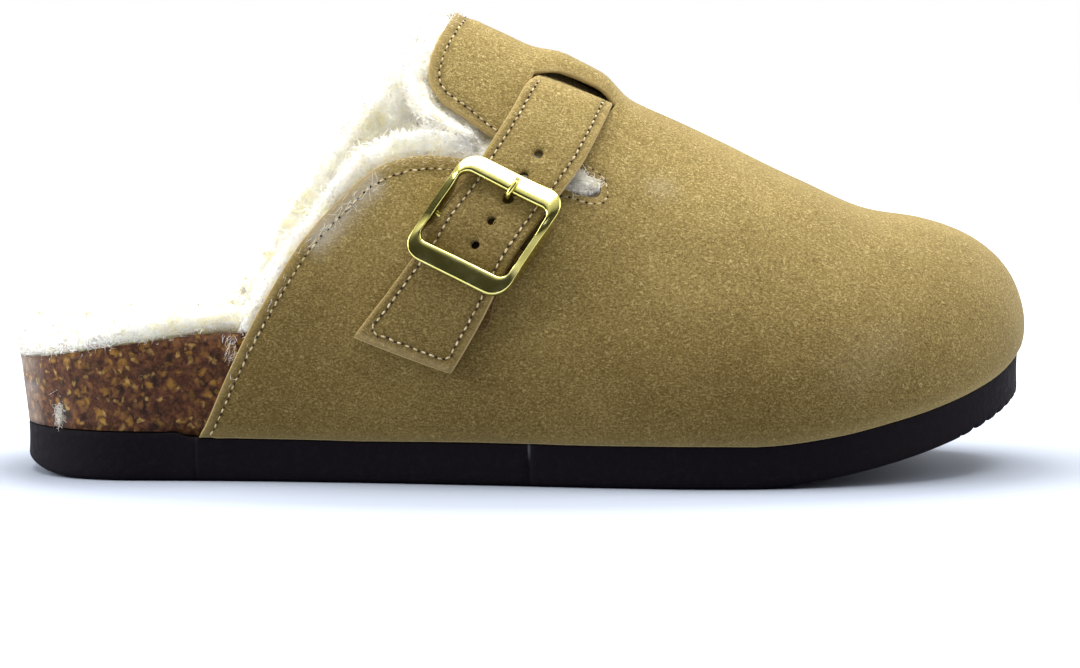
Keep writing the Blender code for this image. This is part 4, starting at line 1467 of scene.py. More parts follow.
@dataclass
class UpperShell:
    """The suede upper: a flat pattern laid on the last, with its wall, slit, keyhole and strap tunnel."""

    last: Last
    run: StrapRun
    seat: Seat
    wall: float = 2.2
    scale_k: float = 380.0
    scale_girth: float = 110.0
    step: float = 1.7
    keyhole_x: float = 148.6
    keyhole_girth: float = -0.447
    keyhole_length: float = 3.4
    keyhole_span: float = 0.029
    keyhole_points: int = 13
    slot_open: float = 4.0
    slot_margin: float = 0.8
    slot_lip: float = 1.0
    slot_bow: float = 0.9
    slot_points: int = 17
    tunnel_height: float = 4.2
    tunnel_fade: Pair = (8.0, 36.0)
    tunnel_side: Pair = (4.5, 16.0)
    tunnel_lean: float = 0.3
    tunnel_start: float = 0.3
    seam_inset: float = 2.3
    seam_slit: float = 1.3
    seam_step: float = 0.8
    slit_back: float = 4.0
    slit_fade: Pair = (15.0, 30.0)
    seam_depth: float = 0.40
    seam_half: float = 0.9
    puff: float = 0.18
    puff_at: float = 2.6
    puff_half: float = 1.5
    cut_bulge: float = 0.45
    lumps: tuple[Lumps, ...] = table(Lumps, (30.0, 0.30, 3), (9.0, 0.10, 4))
    # dark_*: painted shade on the suede, darker low down and behind the strap
    dark_z: Pair = (22.0, 92.0)
    dark_x: Pair = (135.0, 245.0)
    dark_low: float = 0.62
    dark_back: float = 0.29
    dark_lumps: tuple[Lumps, ...] = table(Lumps, (24.0, 0.12, 5))
    # Painted shade under the strap in the buckle's window, for the gaps beside the side bars
    pressed_at: Pair = (37.0, 53.0)
    pressed_fade: Pair = (11.0, 13.5)
    lip_width: float = 2.0
    lip_rise: Pair = (0.5, 2.0)
    raw_edge: float = 0.8
    seam_shade: float = 0.7
    low_edge: float = 1.6
    thread_lift: float = 0.12
    sewn_girth: float = 0.985

    def flat(self, x: Number, girth: Number) -> Array:
        """Flat pattern points of places on the last."""
        return np.stack([self.last.place(x) * self.scale_k, np.asarray(girth) * self.scale_girth], -1)

    def unflat(self, flat: Array) -> tuple[Array, Array]:
        """Station and girth of flat pattern points."""
        return np.clip(flat[:, 0] / self.scale_k, 0, 1), np.clip(flat[:, 1] / self.scale_girth, -1, 1)

    def edge_line(self, rows: Sequence[Edge]) -> Array:
        """A smooth flat line through table rows."""
        return smooth_curve(np.array([self.flat(row.x, row.girth) for row in rows]), self.step)

    def keyhole(self) -> Array:
        """The round end of the slit, from its lower edge to its upper one.

        Returns:
            Flat points.
        """
        turn = np.linspace(-math.pi / 2, math.pi / 2, self.keyhole_points)
        return self.flat(self.keyhole_x + self.keyhole_length * np.cos(turn),
                         self.keyhole_girth + self.keyhole_span * np.sin(turn))

    def collar(self) -> Array:
        """The whole cut edge, flat: up the quarter, round the slit and along the flap to the inner side.

        Returns:
            Flat points, with the suede on their right.
        """
        quarter, flap, hole = self.edge_line(QUARTER_EDGE), self.edge_line(FLAP_EDGE), self.keyhole()
        lower = spaced(np.array([quarter[-1], hole[0]]), self.step)
        upper = spaced(np.array([hole[-1], flap[0]]), self.step)
        return np.concatenate([quarter, lower[1:-1], hole, upper[1:-1], flap])

    def bottom(self) -> Array:
        """The edge on the sole, flat, from the outer back round the toe to the inner back.

        Returns:
            Flat points; both halves of the toe's middle line are among them.
        """
        back = float(self.last.place(QUARTER_EDGE[0].x)) * self.scale_k
        along_foot = np.linspace(back, self.scale_k, round((self.scale_k - back) / self.step) + 1)
        foot = np.stack([along_foot, np.full(len(along_foot), -self.scale_girth)], 1)
        half = round(self.scale_girth / self.step)
        rows = np.linspace(-self.scale_girth, self.scale_girth, 2 * half + 1)
        rows = rows[np.abs(rows) > 1e-6]
        toe = np.stack([np.full(len(rows), self.scale_k), rows], 1)
        return np.concatenate([foot, toe[1:-1], foot[::-1] * (1, -1)])

    def slot(self) -> Array:
        """The strap's slot.

        Returns:
            Flat points of its loop.
        """
        half = float(along(STRAP, "half", 0.0)) + self.slot_margin
        across = np.linspace(-half, half, self.slot_points)
        front = np.zeros(self.slot_points)
        at = np.concatenate([front, front - self.slot_open])
        bend = np.concatenate([front, self.slot_bow * (1 - (across / half) ** 2)])
        x, girth = self.run.where(at - bend, np.concatenate([across, across[::-1]]))
        return self.flat(x, girth)

    def tunnel(self, x: Array, girth: Array) -> Array:
        """How far the upper is raised over the strap's end.

        Args:
            x: Places along the shoe.
            girth: Girths.

        Returns:
            The rise at each place.
        """
        run = self.run
        zero, one = np.array(0.0), np.array(1.0)
        (x0, g0), (x1, g1), (x2, g2) = (run.where(a, b) for a, b in ((zero, zero), (one, zero), (zero, one)))
        back = np.linalg.inv(np.array([[x1 - x0, x2 - x0], [g1 - g0, g2 - g0]]))
        at = back[0, 0] * (x - x0) + back[0, 1] * (girth - g0)
        across = back[1, 0] * (x - x0) + back[1, 1] * (girth - g0) - self.tunnel_lean * (at + self.slot_open)
        raised = ramp(-at, self.tunnel_start, self.slot_open) * (1 - ramp(-at, *self.tunnel_fade))
        return self.tunnel_height * raised * (1 - ramp(np.abs(across), *self.tunnel_side))

    def point(self, k: Array, girth: Array, depth: Number = 0.0) -> Array:
        """A point of the upper's face, or at a depth inside it.

        Args:
            k: Stations.
            girth: Girths.
            depth: Depths below the outer face.

        Returns:
            The points.
        """
        lift = self.tunnel(self.last.station(k), girth) - depth
        return self.last.point(k, girth) + self.last.normal(k, girth) * np.asarray(lift)[..., None]

    def seam(self) -> Array:
        """The sewn line inside the collar; it runs closer to the slit.

        Returns:
            Flat points.
        """
        collar = spaced(self.collar(), self.seam_step)
        slit = self.flat(self.keyhole_x - self.slit_back, self.keyhole_girth)
        near = 1 - ramp(np.linalg.norm(collar - slit, axis=1), *self.slit_fade)
        inset = self.seam_inset - (self.seam_inset - self.seam_slit) * near
        return spaced(beside(collar, inset), self.seam_step)

    def strokes(self, flat: Array, rows: Sequence[Stroke]) -> Array:
        """The summed strength of soft strokes.

        Args:
            flat: Flat pattern points.
            rows: The strokes.

        Returns:
            One sum for each point.
        """
        total = np.zeros(len(flat))
        for row in rows:
            line = np.array([self.flat(row.x, row.girth), self.flat(row.to_x, row.to_girth)])
            total += row.strength * bell(distance_to(flat, line), row.width)
        return total

    def relief(self, flat: Array, to_seam: Array) -> Array:
        """Soft form of the suede's outer face: seam trough, creases and slow lumps.

        Args:
            flat: Flat pattern points.
            to_seam: How far each is from the sewn line.

        Returns:
            Heights off the plain face.
        """
        seam = self.puff * bell(to_seam - self.puff_at, self.puff_half)
        seam -= self.seam_depth * bell(to_seam, self.seam_half)
        lumps = lumpy(self.last.point(*self.unflat(flat)), self.lumps)
        return seam - self.strokes(flat, CREASES) + lumps

    def painted_low_shade(self, points: Array) -> Array:
        """Painted shade: darkest low down and behind the strap, lightest on the toe and the ridge.

        Args:
            points: Points of the face.

        Returns:
            0 to 1 for each point.
        """
        low = 1 - ramp(points[:, 2], *self.dark_z)
        back = 1 - ramp(points[:, 0], *self.dark_x)
        shade = low * (self.dark_low + self.dark_back * back)
        return np.clip(shade + lumpy(points, self.dark_lumps), 0, 1)

    def painted_gap_shade(self, points: Array) -> Array:
        """Painted shade on the suede under the strap, inside the buckle's frame.

        Args:
            points: Points of the face.

        Returns:
            0 to 1 for each point.
        """
        middle = self.run.point(np.linspace(*self.pressed_at, 9), 0.0, 0.0)
        away = np.linalg.norm(points[:, None] - middle, axis=2).min(axis=1)
        return 1 - ramp(away, *self.pressed_fade)

    def build(self) -> Mesh:
        """Lay the pattern on the last and give it its wall.

        Returns:
            The closed mesh with its finish's values.
        """
        collar, slot = self.collar(), self.slot()
        loop = np.concatenate([self.bottom(), collar[::-1][1:-1]])
        flat, faces = fill_pattern(loop, [slot], self.step)
        k, girth = self.unflat(flat)
        to_seam = distance_to(flat, self.seam())
        lip = bell(distance_to(flat, ring_of(slot)), self.lip_width)
        lip *= ramp(self.tunnel(self.last.station(k), girth), *self.lip_rise)
        lift = self.relief(flat, to_seam) - self.slot_lip * lip
        outer, inner = self.point(k, girth, -lift), self.point(k, girth, self.wall)
        on_toe = k > 1 - 1e-6
        mirrored = self.point(k, -girth, -lift), self.point(k, -girth, self.wall)
        outer = np.where(on_toe[:, None], (outer + mirrored[0]) / 2, outer)
        inner = np.where(on_toe[:, None], (inner + mirrored[1]) / 2, inner)
        foot = np.abs(girth) > 1 - 1e-6
        inner[foot, 2] = outer[foot, 2]
        partner = np.arange(len(flat))
        left, right = np.where(on_toe & (girth < 0))[0], np.where(on_toe & (girth > 0))[0]
        partner[right[np.argsort(girth[right])]] = left[np.argsort(-girth[left])]
        faces = partner[faces]
        whole = (faces[:, 0] != faces[:, 1]) & (faces[:, 1] != faces[:, 2]) & (faces[:, 2] != faces[:, 0])
        faces = faces[whole]
        outer, inner = outer[partner], inner[partner]
        points, solid, cut, _ = hide_solid(faces, outer, inner, self.cut_bulge)
        rest = np.zeros(len(points) - len(flat))
        height = np.clip(outer[:, 2] - self.last.sole_top(outer[:, 0]), 0, None)
        # Pale raw cut edge along the collar, and a painted highlight along the slot's raised lip
        pale_edge_and_lip_highlight = bell(distance_to(flat, collar), self.raw_edge) + 0.8 * lip
        # Painted shade under the buckle's frame: it darkens both tone and the deep stitch colour
        gap_shade = self.painted_gap_shade(outer)
        values = {
            "edge": np.concatenate([0.55 * pale_edge_and_lip_highlight, cut[len(flat):]]),
            # stitch: painted shade along the seam's trough, and under the buckle's frame
            "stitch": np.concatenate([bell(to_seam, self.seam_shade) + 2.0 * gap_shade, rest]),
            "scuff": np.concatenate([np.clip(self.strokes(flat, RUBBED), 0, 1), rest]),
            "low": np.concatenate([np.exp(-height / self.low_edge), rest]),
            # tone: painted shade, low down, behind the strap and under the buckle's frame
            "tone": np.concatenate([np.maximum(self.painted_low_shade(outer), gap_shade), rest]),
        }
        used, index = kept_points(solid, len(points))
        solid = [[int(index[i]) for i in face] for face in solid]
        return self.seat.mesh("upper_suede", points[used], solid, {n: v[used] for n, v in values.items()})

    def seam_path(self) -> tuple[Array, Array]:
        """The sewn line on the suede.

        Returns:
            Its points and the outward directions there.
        """
        flat = self.seam()
        k, girth = self.unflat(flat)
        keep = (np.abs(girth) < self.sewn_girth) & (k < 1)
        k, girth, flat = k[keep], girth[keep], flat[keep]
        lift = self.relief(flat, np.zeros(len(flat))) + self.thread_lift
        return self.point(k, girth, -lift), self.last.normal(k, girth)


@dataclass(frozen=True)
class Tuft:
    """A lock of curly wool: a few tapered strands from one root."""

    strands: int = 5
    length: float = 3.2
    curl: float = 1.4
    root: float = 2.2
    thick: float = 0.12
    lengths: Pair = (0.6, 1.1)
    turns: Pair = (2.4, 4.6)
    widths: Pair = (0.6, 1.3)
    lean: float = 0.38
    droop: float = 0.30
    sunk: float = 0.5
    rise: tuple[float, ...] = (0.0, 0.42, 0.76, 1.0)
    taper: Place = (1.0, 0.95, 0.7)

    def build(self, seed: int) -> Skin:
        """Grow the strands.

        Args:
            seed: Which lock.

        Returns:
            Points in millimetres round the root, growing along z, and faces.
        """
        rng = np.random.default_rng(seed)
        rise = np.array(self.rise)
        parts = []
        for _ in range(self.strands):
            turn, hand = rng.uniform(0, 2 * np.pi), rng.choice((-1.0, 1.0))
            length = self.length * rng.uniform(*self.lengths)
            start = rng.normal(0, self.root / 2, 2)
            swing = turn + hand * rise * rng.uniform(*self.turns)
            wide = self.curl * rng.uniform(*self.widths) * np.sqrt(rise)
            lean = rng.normal(0, self.lean, 2)
            line = np.stack([start[0] + wide * np.cos(swing) + lean[0] * length * rise,
                             start[1] + wide * np.sin(swing) + lean[1] * length * rise,
                             length * rise * (1 - self.droop * rise) - self.sunk], 1)
            parts.append(whisker(line, self.thick * np.array(self.taper)))
        return joined(parts)


@dataclass
class Pile:
    """Wool locks set on a fleece's face by a node tree."""

    tuft: Tuft
    material: Finish
    seed: int = 5
    sizes: Pair = (0.75, 1.25)
    lean: float = 0.45
    spin: float = 6.28
    labels: tuple[str, ...] = ("First Lock", "Second Lock", "Third Lock")

    def tree(self) -> Tree:
        """Build the tree that sets locks on faces.

        Returns:
            The tree, with named inputs.
        """
        kinds = {"Geometry": "Geometry", "Density": "Float", "Seed": "Int", "Smallest": "Float",
                 "Largest": "Float", **{label: "Object" for label in self.labels}, "Finish": "Material"}
        graph, given, result = new_group("wool_pile", "GeometryNodeTree", kinds, {"Geometry": "Geometry"})
        seed = given["Seed"]
        spread = graph.add("GeometryNodeDistributePointsOnFaces", {
            "Mesh": given["Geometry"], "Density": graph.times(given["Density"], graph.named("pile")),
            "Seed": seed}, distribute_method="RANDOM")
        locks = graph.add("GeometryNodeJoinGeometry")
        for label in reversed(self.labels):
            lock = graph.add("GeometryNodeObjectInfo", {"Object": given[label], "As Instance": True})
            graph.feed(locks.inputs[0], lock.outputs["Geometry"])
        lean = self.lean
        spin = graph.chance("FLOAT_VECTOR", (-lean, -lean, 0.0), (lean, lean, self.spin), seed)
        size = graph.chance("FLOAT", given["Smallest"], given["Largest"], seed)
        placed = graph.add("GeometryNodeInstanceOnPoints", {
            "Points": spread.outputs["Points"], "Instance": locks.outputs[0], "Pick Instance": True,
            "Instance Index": graph.chance("INT", 0, len(self.labels) - 1, seed),
            "Rotation": graph.turned(spread.outputs["Rotation"], spin),
            "Scale": graph.times(size, graph.named("tall"))})
        graph.feed(result["Geometry"], graph.dressed(placed.outputs[0], given["Finish"]))
        return graph.tree

    def grow(self, name: str, carrier: Mesh, locks: int) -> Piece:
        """Set about a number of locks on a carrier.

        Args:
            name: The new piece's name.
            carrier: A mesh with pile and tall values, used up here.
            locks: How many locks.

        Returns:
            The piece.
        """
        tools = {}
        for i, label in enumerate(self.labels):
            mesh = Seat(0.0, 0.0).mesh(f"lock_{i}", *self.tuft.build(self.seed + i))
            tools[label] = show(f"lock_{i}", mesh)
        values = np.zeros(len(carrier.vertices), np.float32)
        carrier.attributes["pile"].data.foreach_get("value", values)
        area = sum(face.area * values[list(face.vertices)].mean() for face in carrier.polygons)
        base = show(f"{name}_carrier", carrier)
        smallest, largest = self.sizes
        made = show(name, run_tree(base, self.tree(), {
            "Density": locks / area, "Seed": self.seed, "Smallest": smallest, "Largest": largest,
            **tools, "Finish": self.material}))
        for tool in (*tools.values(), base):
            bpy.data.objects.remove(tool)
        return made


def run_tree(base: Piece, tree: Tree, values: dict[str, object]) -> Mesh:
    """Run a geometry tree on an object.

    Args:
        base: The object.
        tree: The tree.
        values: Its inputs, by name.

    Returns:
        The result as a plain mesh.
    """
    modifier = base.modifiers.new(tree.name, "NODES")
    modifier.node_group = tree
    for item in tree.interface.items_tree:
        if item.item_type == "SOCKET" and item.in_out == "INPUT" and item.name in values:
            modifier[item.identifier] = values[item.name]
    base.update_tag()
    mesh = evaluated(base)
    base.modifiers.remove(modifier)
    return mesh


@dataclass
class FleeceLining:
    """The wool side of the upper, standing out past its cut edge, most of all on the inner side."""

    shell: UpperShell
    seat: Seat
    step: float = 1.9
    back_depth: float = 2.5
    thick: float = 4.2
    rim_thick: float = 2.4
    proud: float = 1.8
    proud_slit: float = 4.2
    proud_inner: float = 5.6
    quarter_girth: Pair = (-0.62, -0.49)
    flap_girth: Pair = (-0.34, -0.22)
    inner_girth: Pair = (0.04, 0.34)
    floor_gap: float = 1.5
    edge_reach: float = 12.0
    past_rise: float = 2.4
    past_fade: Pair = (0.4, 3.0)
    past_lumps: float = 0.4
    past_wool: Pair = (0.8, 2.2)
    lumps: tuple[Lumps, ...] = table(Lumps, (7.0, 0.9, 11), (3.4, 0.5, 12))
    smooth_k: Pair = (0.96, 1.0)
    rim_width: float = 13.0
    rim_bulge: float = 2.0
    tousled: float = 0.9
    tousled_size: float = 3.2
    tousled_width: float = 8.0
    tousled_seeds: tuple[int, ...] = (13, 14, 15)
    wool_least: float = 0.04
    wool_width: float = 24.0
    toe_wool: float = 0.02
    toe_x: float = 205.0
    past_pile: float = 2.0
    rim_pile: float = 2.5
    rim_pile_width: float = 7.0
    tall_edge: float = 0.7
    tall_more: float = 0.3
    tall_fade: Pair = (2.0, 8.0)
    tall_rim: float = 0.8
    plug_shift: float = 1.8
    plug_grow: float = 0.6
    plug_narrow: float = 0.78
    plug_step: float = 0.5
    plug_proud: float = 0.85
    plug_round: float = 0.7
    plug_depth: float = 4.0
    plug_points: int = 44
    plug_ragged: Pair = (0.14, 0.08)
    plug_sunk: float = 0.9
    plug_bulge: float = 0.1
    plug_lumps: tuple[Lumps, ...] = table(Lumps, (1.7, 0.9, 51), (0.8, 0.5, 52))

    def loop(self) -> Array:
        """The lining's flat outline, grown past the collar, with the slit closed.

        Returns:
            Flat points.
        """
        shell = self.shell
        quarter = spaced(shell.edge_line(QUARTER_EDGE), self.step)
        flap = spaced(shell.edge_line(FLAP_EDGE), self.step)
        at_slit = ramp(quarter[:, 1] / shell.scale_girth, *self.quarter_girth)
        flap_girth = flap[:, 1] / shell.scale_girth
        inner = (self.proud_inner - self.proud) * ramp(flap_girth, *self.inner_girth)
        outer = (self.proud_slit - self.proud) * (1 - ramp(flap_girth, *self.flap_girth))
        quarter = beside(quarter, -between(self.proud, self.proud_slit, at_slit))
        flap = beside(flap, -(self.proud + inner + outer))
        link = spaced(np.array([quarter[-1], flap[0]]), self.step)[1:-1]
        collar = np.concatenate([quarter, link, flap])
        collar[:, 1] = np.clip(collar[:, 1], -shell.scale_girth, shell.scale_girth)
        return np.concatenate([spaced(shell.bottom(), self.step), collar[::-1][1:-1]])

    def build(self) -> tuple[Mesh, Mesh]:
        """Make the lining and the carrier of its pile.

        Returns:
            The closed lining, and a copy with pile and tall values.
        """
        shell, last = self.shell, self.shell.last
        flat, faces = fill_pattern(self.loop(), [], self.step)
        k, girth = shell.unflat(flat)
        face = last.point(k, girth)
        floor = last.footbed_z(face[:, 0], np.where(girth < 0, -1.0, 1.0)) + self.floor_gap
        faces = faces[(face[faces, 2] > floor[faces]).all(axis=1)]
        used, index = kept_points(faces, len(flat))
        faces, flat, k, girth, face = index[faces], flat[used], k[used], girth[used], face[used]
        outward = last.normal(k, girth)
        collar = np.concatenate([shell.edge_line(QUARTER_EDGE), shell.edge_line(FLAP_EDGE)])
        to_edge = distance_to(flat, collar)
        past = ~inside(flat, np.concatenate([shell.bottom(), collar[::-1]])) & (to_edge < self.edge_reach)
        lumps = lumpy(face, self.lumps) * (1 - ramp(k, *self.smooth_k))
        back = self.back_depth - self.past_rise * np.where(past, ramp(to_edge, *self.past_fade), 0.0)
        outer = face - outward * (back - self.past_lumps * np.where(past, lumps, 0.0))[:, None]
        plump = self.thick + self.rim_thick * bell(to_edge, self.rim_width)
        inner = face - outward * (self.back_depth + plump + lumps)[:, None]
        points, solid, _, source = hide_solid(faces, outer, inner, self.rim_bulge)
        near = bell(to_edge[source], self.tousled_width)[:, None]
        tousled = np.stack([cloud(points, self.tousled_size, seed) for seed in self.tousled_seeds], 1)
        points = points + self.tousled * near * tousled
        body = self.seat.mesh("lining_fleece", points, solid)
        wool = between(self.wool_least, 1.0, bell(to_edge, self.wool_width))
        wool[face[:, 0] > self.toe_x] = self.toe_wool
        shown = np.where(past, ramp(to_edge, *self.past_wool), 0.0)
        rim = to_edge[source[2 * len(flat):]]
        thick_rim = self.rim_pile * np.exp(-(rim / self.rim_pile_width) ** 4)
        tall = self.tall_edge + self.tall_more * ramp(to_edge, *self.tall_fade)
        low, high = np.full(len(flat), self.tall_edge), np.full(len(rim), self.tall_rim)
        carrier = self.seat.mesh("lining_face", points, solid, {
            "pile": np.concatenate([self.past_pile * shown, wool, thick_rim]),
            "tall": np.concatenate([low, tall, high])})
        return body, carrier

    def plug(self) -> tuple[Mesh, Mesh]:
        """Make the wool that fills the keyhole and the carrier of its pile.

        Returns:
            The closed mesh, and a copy with pile and tall values.
        """
        shell = self.shell
        turn = circle(self.plug_points)
        wide, fine = self.plug_ragged
        ragged = 1 + wide * np.sin(3 * turn + 1.0) + fine * np.sin(5 * turn)
        reach, span = shell.keyhole_length + self.plug_grow, self.plug_narrow * shell.keyhole_span
        loop = shell.flat(shell.keyhole_x - self.plug_shift + reach * ragged * np.cos(turn),
                          shell.keyhole_girth + span * ragged * np.sin(turn))
        flat, faces = fill_pattern(loop, [], self.plug_step)
        k, girth = shell.unflat(flat)
        lumps = lumpy(shell.last.point(k, girth), self.plug_lumps)
        rim = np.exp(-distance_to(flat, ring_of(loop)) / self.plug_round)
        outer = shell.point(k, girth, self.plug_sunk * rim - self.plug_proud - lumps)
        inner = shell.point(k, girth, self.plug_depth)
        points, solid, _, _ = hide_solid(faces, outer, inner, self.plug_bulge)
        shown = np.concatenate([np.ones(len(flat)), np.zeros(len(points) - len(flat))])
        carrier = self.seat.mesh("keyhole_face", points, solid, {"pile": shown, "tall": np.ones(len(points))})
        return self.seat.mesh("keyhole_wool", points, solid), carrier


@dataclass
class FleeceInsole:
    """The wool that covers the footbed."""

    last: Last
    seat: Seat
    stations: int = 130
    columns: int = 45
    flare: float = 2.0
    inset_cork: float = 2.0
    flare_x: Pair = (36.0, 52.0)
    inset_heel: float = 1.0
    inset_front: float = 3.2
    inset_x: Pair = (30.0, 60.0)
    pile_heel: float = 9.0
    pile_toe: float = 6.0
    pile_x: Pair = (150.0, 250.0)
    rounding: float = 3.0
    lock_height: float = 1.2
    lock_pitch: float = 13.0
    lock_narrow: float = 0.9
    lock_sway: Pair = (0.9, 1.3)
    lock_sway_pitch: Pair = (9.0, 14.0)
    lumps: tuple[Lumps, ...] = table(Lumps, (8.0, 1.1, 21), (3.6, 0.6, 22))
    soft_end: Pair = (0.8, 1.0)
    swell: float = 1.4
    swell_end: Pair = (0.9, 1.0)
    side_share: float = 0.55
    wool_x: Pair = (85.0, 140.0)
    wool_least: float = 0.04
    end_power: int = 8
    end_smooth: float = 0.6
    side_wool: float = 1.8
    side_tall: float = 0.6

    def locks(self, x: Array, y: Array) -> Array:
        """Height of the wool's locks.

        Args:
            x: Places along the shoe.
            y: Places across it.

        Returns:
            The height at each place.
        """
        row_sway, column_sway = self.lock_sway
        row_wave, column_wave = self.lock_sway_pitch
        narrow = self.lock_pitch * self.lock_narrow
        row = np.sin(2 * np.pi * x / self.lock_pitch + row_sway * np.sin(y / row_wave))
        column = np.sin(2 * np.pi * y / narrow + column_sway * np.sin(x / column_wave))
        return self.lock_height * row * column

    def build(self) -> tuple[Mesh, Mesh]:
        """Make the insole and the carrier of its pile.

        Returns:
            The closed insole, and a copy with pile and tall values.
        """
        last = self.last
        k = np.linspace(0, 1, self.stations)[:, None]
        a = np.sin(np.linspace(-np.pi / 2, np.pi / 2, self.columns))[None, :]
        x = last.station(k)
        inset = between(self.inset_heel, self.inset_front, ramp(x, *self.inset_x))
        rim = self.flare - (self.flare + self.inset_cork) * ramp(x, *self.flare_x) - inset
        outer, inner = last.edge(k, Side.OUTER, rim), last.edge(k, Side.INNER, rim)
        px, py = (between(a_side, b_side, (a + 1) / 2) for a_side, b_side in zip(outer, inner))
        low = last.footbed_z(x, a) + last.gap
        pile = between(self.pile_heel, self.pile_toe, ramp(x, *self.pile_x))
        end = ramp(np.maximum(np.abs(a), np.abs(2 * k - 1) ** self.end_power), *self.soft_end)
        top = low + pile * (1 - end * self.rounding / pile)
        lumps = lumpy(np.stack([px, py, top], -1), self.lumps)
        high = top + (self.locks(px, py) + lumps) * (1 - self.end_smooth * end)
        swell = self.swell * ramp(np.abs(a), *self.swell_end)
        upper = np.stack([px, py, high], -1)
        lower = np.stack([px, py, np.broadcast_to(low, px.shape)], -1)
        side = [between(lower[:, [i]], upper[:, [i]], self.side_share) for i in (-1, 0)]
        for points, way in zip(side, (Side.INNER, Side.OUTER)):
            points[..., 0], points[..., 1] = last.edge(k, way, rim + swell[:, -1:])
        ring = np.concatenate([lower, side[0], upper[:, ::-1], side[1]], axis=1)
        points, faces = loft(ring)
        body = self.seat.mesh("insole_fleece", points, faces)
        wool = between(self.wool_least, 1.0, 1 - ramp(x, *self.wool_x))
        thick = np.broadcast_to(wool, ring.shape[:2]).copy()
        thick[:, 1:self.columns - 1] = 0.0
        thick[:, [0, self.columns - 1, self.columns, -1]] *= self.side_wool
        tall = np.full(ring.shape[:2], 1.0)
        tall[:, [self.columns, -1]] = self.side_tall
        carrier = self.seat.mesh("insole_face", points, faces, {"pile": thick.ravel(), "tall": tall.ravel()})
        return body, carrier


@dataclass
class CorkFootbed:
    """The cork footbed, flared at the bare heel and drawn in under the upper."""

    last: Last
    seat: Seat
    stations: int = 120
    columns: int = 33
    side_rows: int = 10
    flare: float = 2.0
    inset: float = 2.0
    flare_x: Pair = (36.0, 52.0)
    inset_x: Pair = (38.0, 46.0)
    pale_end_x: Pair = (1.0, 9.0)
    fluff_at: Pair = (12.0, 16.0)
    fluff_size: Pair = (2.2, 3.4)
    fluff_share: float = 0.35
    pale_end_share: float = 0.6
    streak_stretch: Place = (1.0, 1.0, 2.2)
    streak_size: float = 5.0
    streak_seed: int = 31

    def build(self) -> Mesh:
        """Loft the footbed.

        Returns:
            The closed mesh with its dusty values.
        """
        last = self.last
        k = np.linspace(0, 1, self.stations)
        x = last.station(k)
        tip = -self.inset * ramp(x, *self.inset_x)
        rim = self.flare - (self.flare + self.inset) * ramp(x, *self.flare_x)
        outer, inner = last.edge(k, Side.OUTER, rim), last.edge(k, Side.INNER, rim)
        columns = []
        for part in np.linspace(-1, 1, self.columns):
            px, py = (between(a, b, (part + 1) / 2) for a, b in zip(outer, inner))
            columns.append(np.stack([px, py, last.footbed_z(x, part)], -1))
        for side, order in ((Side.INNER, -1), (Side.OUTER, 1)):
            rows = []
            for share in np.linspace(0, 1, self.side_rows)[:-1]:
                px, py = last.edge(k, side, between(tip, rim, share))
                low, high = last.sole_top(px) + last.gap, last.footbed_z(x, side.value)
                rows.append(np.stack([px, py, between(low, high, share)], -1))
            columns += rows[::order]
        ring = np.stack(columns, axis=1)
        points, faces = loft(ring)
        # Pale streaks at the heel end: painted sheen with dust; the patch by the heel is lint
        streaks = 0.5 + 0.5 * cloud(points * self.streak_stretch, self.streak_size, self.streak_seed)
        dust_and_sheen = (1 - ramp(points[:, 0], *self.pale_end_x)) * streaks * self.pale_end_share
        fluff = bell(points[:, 0] - self.fluff_at[0], self.fluff_size[0])
        fluff *= bell(points[:, 2] - self.fluff_at[1], self.fluff_size[1])
        dust_and_sheen += self.fluff_share * fluff * streaks
        return self.seat.mesh("cork_body", points, faces, {"dust_and_sheen": np.clip(dust_and_sheen, 0, 1)})


